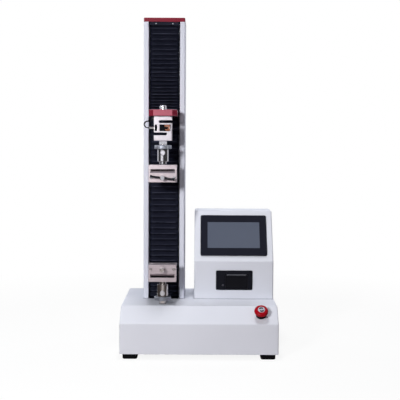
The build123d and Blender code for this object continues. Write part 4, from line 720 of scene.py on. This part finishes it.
gauge_z = (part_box("cable_gland")[0].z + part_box("cable_gland")[1].z) / 2
for side, face, toward in (("front", cell_low.y + WINDOW_FLOOR, -1), ("rear", cell_high.y - WINDOW_FLOOR, 1)):
    # painted shade: a near-black sheet on the window floor
    lump("gauge_backing_" + side, (cell_x + SHADE_SHEET_X, face, gauge_z), SHADE_SHEET_SIZE,
                 gauge_shadow, SHADE_SHEET_SEED, toward, 0.0)
    for part, dx, dz, wide, high, lean in (("top", 0.0120, 0.0056, 0.0150, 0.0062, 0.0),
                                           ("side", 0.0172, 0.0, 0.0066, 0.0176, -0.3),
                                           ("foot", 0.0130, -0.0062, 0.0120, 0.0050, 0.2)):
        lump("gauge_potting_%s_%s" % (part, side),
                     (cell_x + dx, face + toward * POTTING_LIFT, gauge_z + dz), (wide, POTTING_H, high),
                     potting, POTTING_SEED + dx * POTTING_VARY, toward, lean)

# sealing where the lead leaves, in the near-black of the painted shade
lump("lead_sealing", (cell_x + SEALING_X, cell_low.y + POCKET_FLOOR, gauge_z), SEALING_SIZE,
             gauge_shadow, SEALING_SEED, -1, 0.0)

cable_sheath = finish("lead_sheath", mottle, {"Colour": srgb(20, 20, 22), "Shade": srgb(28, 28, 31),
                                               "Patch": 80.0, "Grain": 2000.0},
                      (0.36, 0.5), (0.1, 0.0001), 0.0006, 0.3, srgb(60, 60, 66))
gland_low, gland_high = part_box("cable_gland")
start = gland_low.x
lead_y = (gland_low.y + gland_high.y) / 2
arm_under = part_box("crosshead_arm")[0].z
LEAD_D = 0.004
ENTRY_X = start + 0.009
ENTRY_Y = lead_y + 0.037
ENTRY_DROP = 0.011
LOOP = ((0.0, 0.0, 0.0), (-0.009, 0.0, 0.0), (-0.0155, 0.006, 0.009), (-0.013, 0.017, 0.018),
        (-0.003, 0.028, 0.0205))
route = [(start + x, lead_y + y, gauge_z + z) for x, y, z in LOOP]
route += [(ENTRY_X, ENTRY_Y, arm_under - ENTRY_DROP), (ENTRY_X, ENTRY_Y, arm_under)]
line = bpy.data.curves.new("load_cell_lead", "CURVE")
line.dimensions = "3D"
line.bevel_depth = LEAD_D / 2
line.bevel_resolution = 5
line.resolution_u = 14
line.use_fill_caps = True
spline = line.splines.new("NURBS")
spline.points.add(len(route) - 1)
for point, co in zip(spline.points, route):
    point.co = (*co, 1.0)
spline.order_u = 3
spline.use_endpoint_u = True
line.materials.append(cable_sheath)
lead = bpy.data.objects.new("load_cell_lead", line)
scene.collection.objects.link(lead)
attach(lead, "crosshead")
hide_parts("load_cell_cable")

# Couplings. Turned steel, above and below: a hexagon stud is screwed home and held by a notched lock ring,
# and a headed pin goes through the socket and the grip's tenon.
# painted shade: hollows darkened nearly black
ring_steel = finish("ring_steel", brushing, {"Colour": srgb(162, 164, 174), "Shade": srgb(136, 138, 148),
                                             "Stretch": (40.0, 40.0, 1500.0)},
                    (0.28, 0.42), (0.05, 0.0001), 0.0007, 0.55, srgb(226, 227, 232),
                    (0.006, 0.8, 0.8, srgb(34, 33, 36)), Metallic=1.0)
for end in ("upper", "lower"):
    dress(polished_steel, end + "_socket", end + "_stud")
    dress(bright_steel, end + "_pin")
    dress(ring_steel, end + "_lock_ring")

# Grips. Brushed steel clamp frames with toothed jaws, turned guide rods and a clamp screw with a round
# head; the upper screw keeps its black tommy bar.
# painted shade: the slot and hollows darkened nearly black over a wide reach
brushed_grip = finish("grip_brushed_steel", brushing,
                      {"Colour": srgb(192, 181, 184), "Shade": srgb(164, 151, 154),
                       "Stretch": (18.0, 900.0, 900.0)},
                      (0.36, 0.50), (0.07, 0.0001), 0.0009, 0.6, srgb(242, 238, 240),
                      (0.03, 0.38, 1.0, srgb(14, 12, 12)), Metallic=1.0)
for end in ("upper", "lower"):
    dress(brushed_grip, end + "_grip_body", end + "_jaw")
    dress(polished_steel, end + "_jaw_rods", end + "_clamp_screw")
dress(dark_steel, "upper_tommy_bar")

# Control box. Folded sheet in the same white as the base; the front panel and the cover meet in a fine
# seam, and six pan-head screws hold the cover's rear.
dress(white_paint, "control_box_front", "control_box_cover")
cover_low, cover_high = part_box("control_box_cover")
COVER_SCREWS = (3, 2)
COVER_SPAN = (0.200, 0.210)
cover_middle = ((cover_low.x + cover_high.x) / 2, cover_high.y, (cover_low.z + cover_high.z) / 2)
screws("control_box_screws", cover_screw, COVER_SCREWS, COVER_SPAN, cover_middle, FACE_REAR, bright_steel,
       "frame")

# Touch panel. A black moulded bezel round a slate-grey display behind anti-glare glass, set in the
# inclined front from outside, with its housing behind.
bezel_plastic = finish("bezel_plastic", mottle, {"Colour": srgb(21, 22, 32), "Shade": srgb(24, 25, 35),
                                                 "Patch": 40.0, "Grain": 2600.0},
                       (0.36, 0.46), (0.10, 0.0001), 0.0008, 0.4, srgb(44, 45, 56), Specular_IOR_Level=0.12)
dress(bezel_plastic, "panel_bezel", "panel_back")
display = finish("display_glass", mottle, {"Colour": srgb(68, 75, 91), "Shade": srgb(74, 81, 97),
                                          "Patch": 4.0, "Grain": 3500.0},
                 (0.22, 0.26), (0.02, 0.0001), 0.0004, 0.2, srgb(30, 31, 36),
                 Coat_Weight=0.4, Coat_Roughness=0.12)
dress(display, "panel_glass")

# Printer. Black moulded frame, smooth lid over the paper bay, rubber platen and a small feed button; a
# toothed steel edge tears the paper at the slit.
dress(black_plastic, "printer_frame")
lid_plastic = finish("lid_plastic", mottle, {"Colour": srgb(7, 7, 14), "Shade": srgb(10, 10, 17),
                                             "Patch": 30.0, "Grain": 3000.0},
                     (0.28, 0.36), (0.05, 0.0001), 0.0008, 0.4, srgb(40, 40, 50), Specular_IOR_Level=0.12)
dress(lid_plastic, "printer_lid")
button_plastic = finish("button_plastic", mottle, {"Colour": srgb(52, 52, 59), "Shade": srgb(58, 58, 65),
                                                   "Patch": 60.0, "Grain": 3000.0},
                        (0.35, 0.45), (0.05, 0.0001), 0.0006, 0.4, srgb(90, 90, 98))
dress(button_plastic, "feed_button")
dress(black_rubber, "platen_roller")

TEETH = 40
TOOTH_PITCH = 0.0015
TOOTH_JOIN = 0.00001
SLIT = 0.0025
tear_edge, given, out = nodes_tree("tear_edge", {"Count": "Int", "Pitch": "Float", "Tooth": "Object",
                                                 "Place": "Vector", "Finish": "Material"})
step = add(tear_edge, "ShaderNodeCombineXYZ", {0: given["Pitch"]}).outputs[0]
row = add(tear_edge, "GeometryNodeMeshLine", {"Count": given["Count"], "Offset": step})
one = add(tear_edge, "GeometryNodeObjectInfo", {"Object": given["Tooth"]})
set_out = add(tear_edge, "GeometryNodeInstanceOnPoints",
              {"Points": row.outputs[0], "Instance": one.outputs["Geometry"]})
solid = add(tear_edge, "GeometryNodeRealizeInstances", {0: set_out.outputs[0]})
joined = add(tear_edge, "GeometryNodeMergeByDistance", {"Geometry": solid.outputs[0], "Distance": TOOTH_JOIN})
stood = add(tear_edge, "GeometryNodeTransform", {"Geometry": joined.outputs[0], "Translation": given["Place"]})
close_tree(tear_edge, stood.outputs[0], given, out)

tooth = bpy.data.meshes.new("tooth")
half, thick, tip, top = TOOTH_PITCH / 2, 0.0004, -0.0006, 0.0012
outline = ((-half, top), (-half, 0.0), (0.0, tip), (half, 0.0), (half, top))
verts = [(x, y, z) for y in (-thick, 0.0) for x, z in outline]
faces = [(0, 1, 2, 3, 4), (9, 8, 7, 6, 5), (1, 6, 7, 2), (2, 7, 8, 3), (4, 9, 5, 0)]
tooth.from_pydata(verts, [], faces)
sample = bpy.data.objects.new("tooth", tooth)
scene.collection.objects.link(sample)
lid_low, lid_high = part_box("printer_lid")
tear_x = (lid_low.x + lid_high.x) / 2 - TOOTH_PITCH * (TEETH - 1) / 2
tear_place = (tear_x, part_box("printer_frame")[0].y, lid_high.z + SLIT)
tear_bar = grown(tear_edge, "printer_tear_bar", {
    "Count": TEETH, "Pitch": TOOTH_PITCH, "Tooth": sample, "Place": tear_place, "Finish": zinc_plate})
bpy.data.objects.remove(sample)
shell = bmesh.new()
shell.from_mesh(tear_bar.data)
bmesh.ops.holes_fill(shell, edges=[e for e in shell.edges if e.is_boundary], sides=4)
bmesh.ops.recalc_face_normals(shell, faces=shell.faces)
shell.to_mesh(tear_bar.data)
shell.free()
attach(tear_bar, "frame")

# Emergency stop. Red moulded mushroom head on a dark stem and collar; its pale centre has two dark
# curved arrows that show the way it turns to release.
red_plastic = finish("moulded_red", mottle, {"Colour": srgb(164, 0, 22), "Shade": srgb(150, 0, 18),
                                             "Patch": 60.0, "Grain": 2200.0},
                     (0.26, 0.34), (0.04, 0.0001), 0.001, 0.3, srgb(174, 4, 26), Specular_IOR_Level=0.15)
dress(red_plastic, "estop_head")
dress(black_plastic, "estop_plunger", "estop_collar")

STOP_SEAT = Vector((0.176, -0.1533, 0.1235))
STOP_AXIS = Vector((0.0, -0.652, 0.758)).normalized()
STOP_TOP = 0.025
BADGE_R = 0.0100
BADGE_H = 0.0004
BADGE_SINK = 0.0002
ARROW_R = 0.0058
ARROW_W = 0.0042
ARROW_H = 0.00015
ARROW_SINK = 0.0001
ARROW_BARB = 0.0012
ARROW_SWEEP = 90
ARROW_TIP = 136
stop_up = STOP_AXIS.cross(Vector((1, 0, 0))).normalized() * -1
release_white = finish("release_white", mottle, {"Colour": srgb(186, 190, 200), "Shade": srgb(172, 176, 186),
                                                 "Patch": 120.0, "Grain": 2500.0},
                       (0.3, 0.4), (0.04, 0.0001), 0.0006, 0.4, srgb(232, 233, 238))


def on_stop(u, v, h):
    """Point on the head: u to the right, v up its face, h above its flat top."""
    return STOP_SEAT + Vector((u, 0, 0)) + stop_up * v + STOP_AXIS * (STOP_TOP + h)


def plate_on_stop(shell, outline, low, high):
    """Thin plate with that outline on the head's face."""
    rows = [[shell.verts.new(on_stop(u, v, h)) for u, v in outline] for h in (low, high)]
    count = len(outline)
    shell.faces.new(list(reversed(rows[0])))
    shell.faces.new(rows[1])
    for k in range(count):
        n = (k + 1) % count
        shell.faces.new((rows[0][k], rows[0][n], rows[1][n], rows[1][k]))


def stop_piece(name, outlines, low, high, material):
    """Thin marks on the head as one piece that turns with it."""
    shell = bmesh.new()
    for outline in outlines:
        plate_on_stop(shell, outline, low, high)
    bmesh.ops.recalc_face_normals(shell, faces=shell.faces)
    mesh = bpy.data.meshes.new(name)
    shell.to_mesh(mesh)
    shell.free()
    mesh.materials.append(material)
    piece = bpy.data.objects.new(name, mesh)
    scene.collection.objects.link(piece)
    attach(piece, "estop_head")


def polar(r, degrees):
    """Point of the face at a radius and an angle."""
    return r * math.cos(math.radians(degrees)), r * math.sin(math.radians(degrees))


arrows = []
inner, outer = ARROW_R - ARROW_W / 2, ARROW_R + ARROW_W / 2
for turn in (20, 200):
    arc = [polar(outer, turn + a) for a in range(0, ARROW_SWEEP + 1, 10)]
    arc += [polar(outer + ARROW_BARB, turn + ARROW_SWEEP), polar(ARROW_R, turn + ARROW_TIP),
            polar(inner - ARROW_BARB, turn + ARROW_SWEEP)]
    arc += [polar(inner, turn + a) for a in range(ARROW_SWEEP, -1, -10)]
    arrows.append(arc)
badge = [polar(BADGE_R, a) for a in range(0, 360, 8)]
stop_piece("estop_badge", [badge], -BADGE_SINK, BADGE_H, release_white)
stop_piece("estop_arrows", arrows, BADGE_H - ARROW_SINK, BADGE_H + ARROW_H, black_plastic)
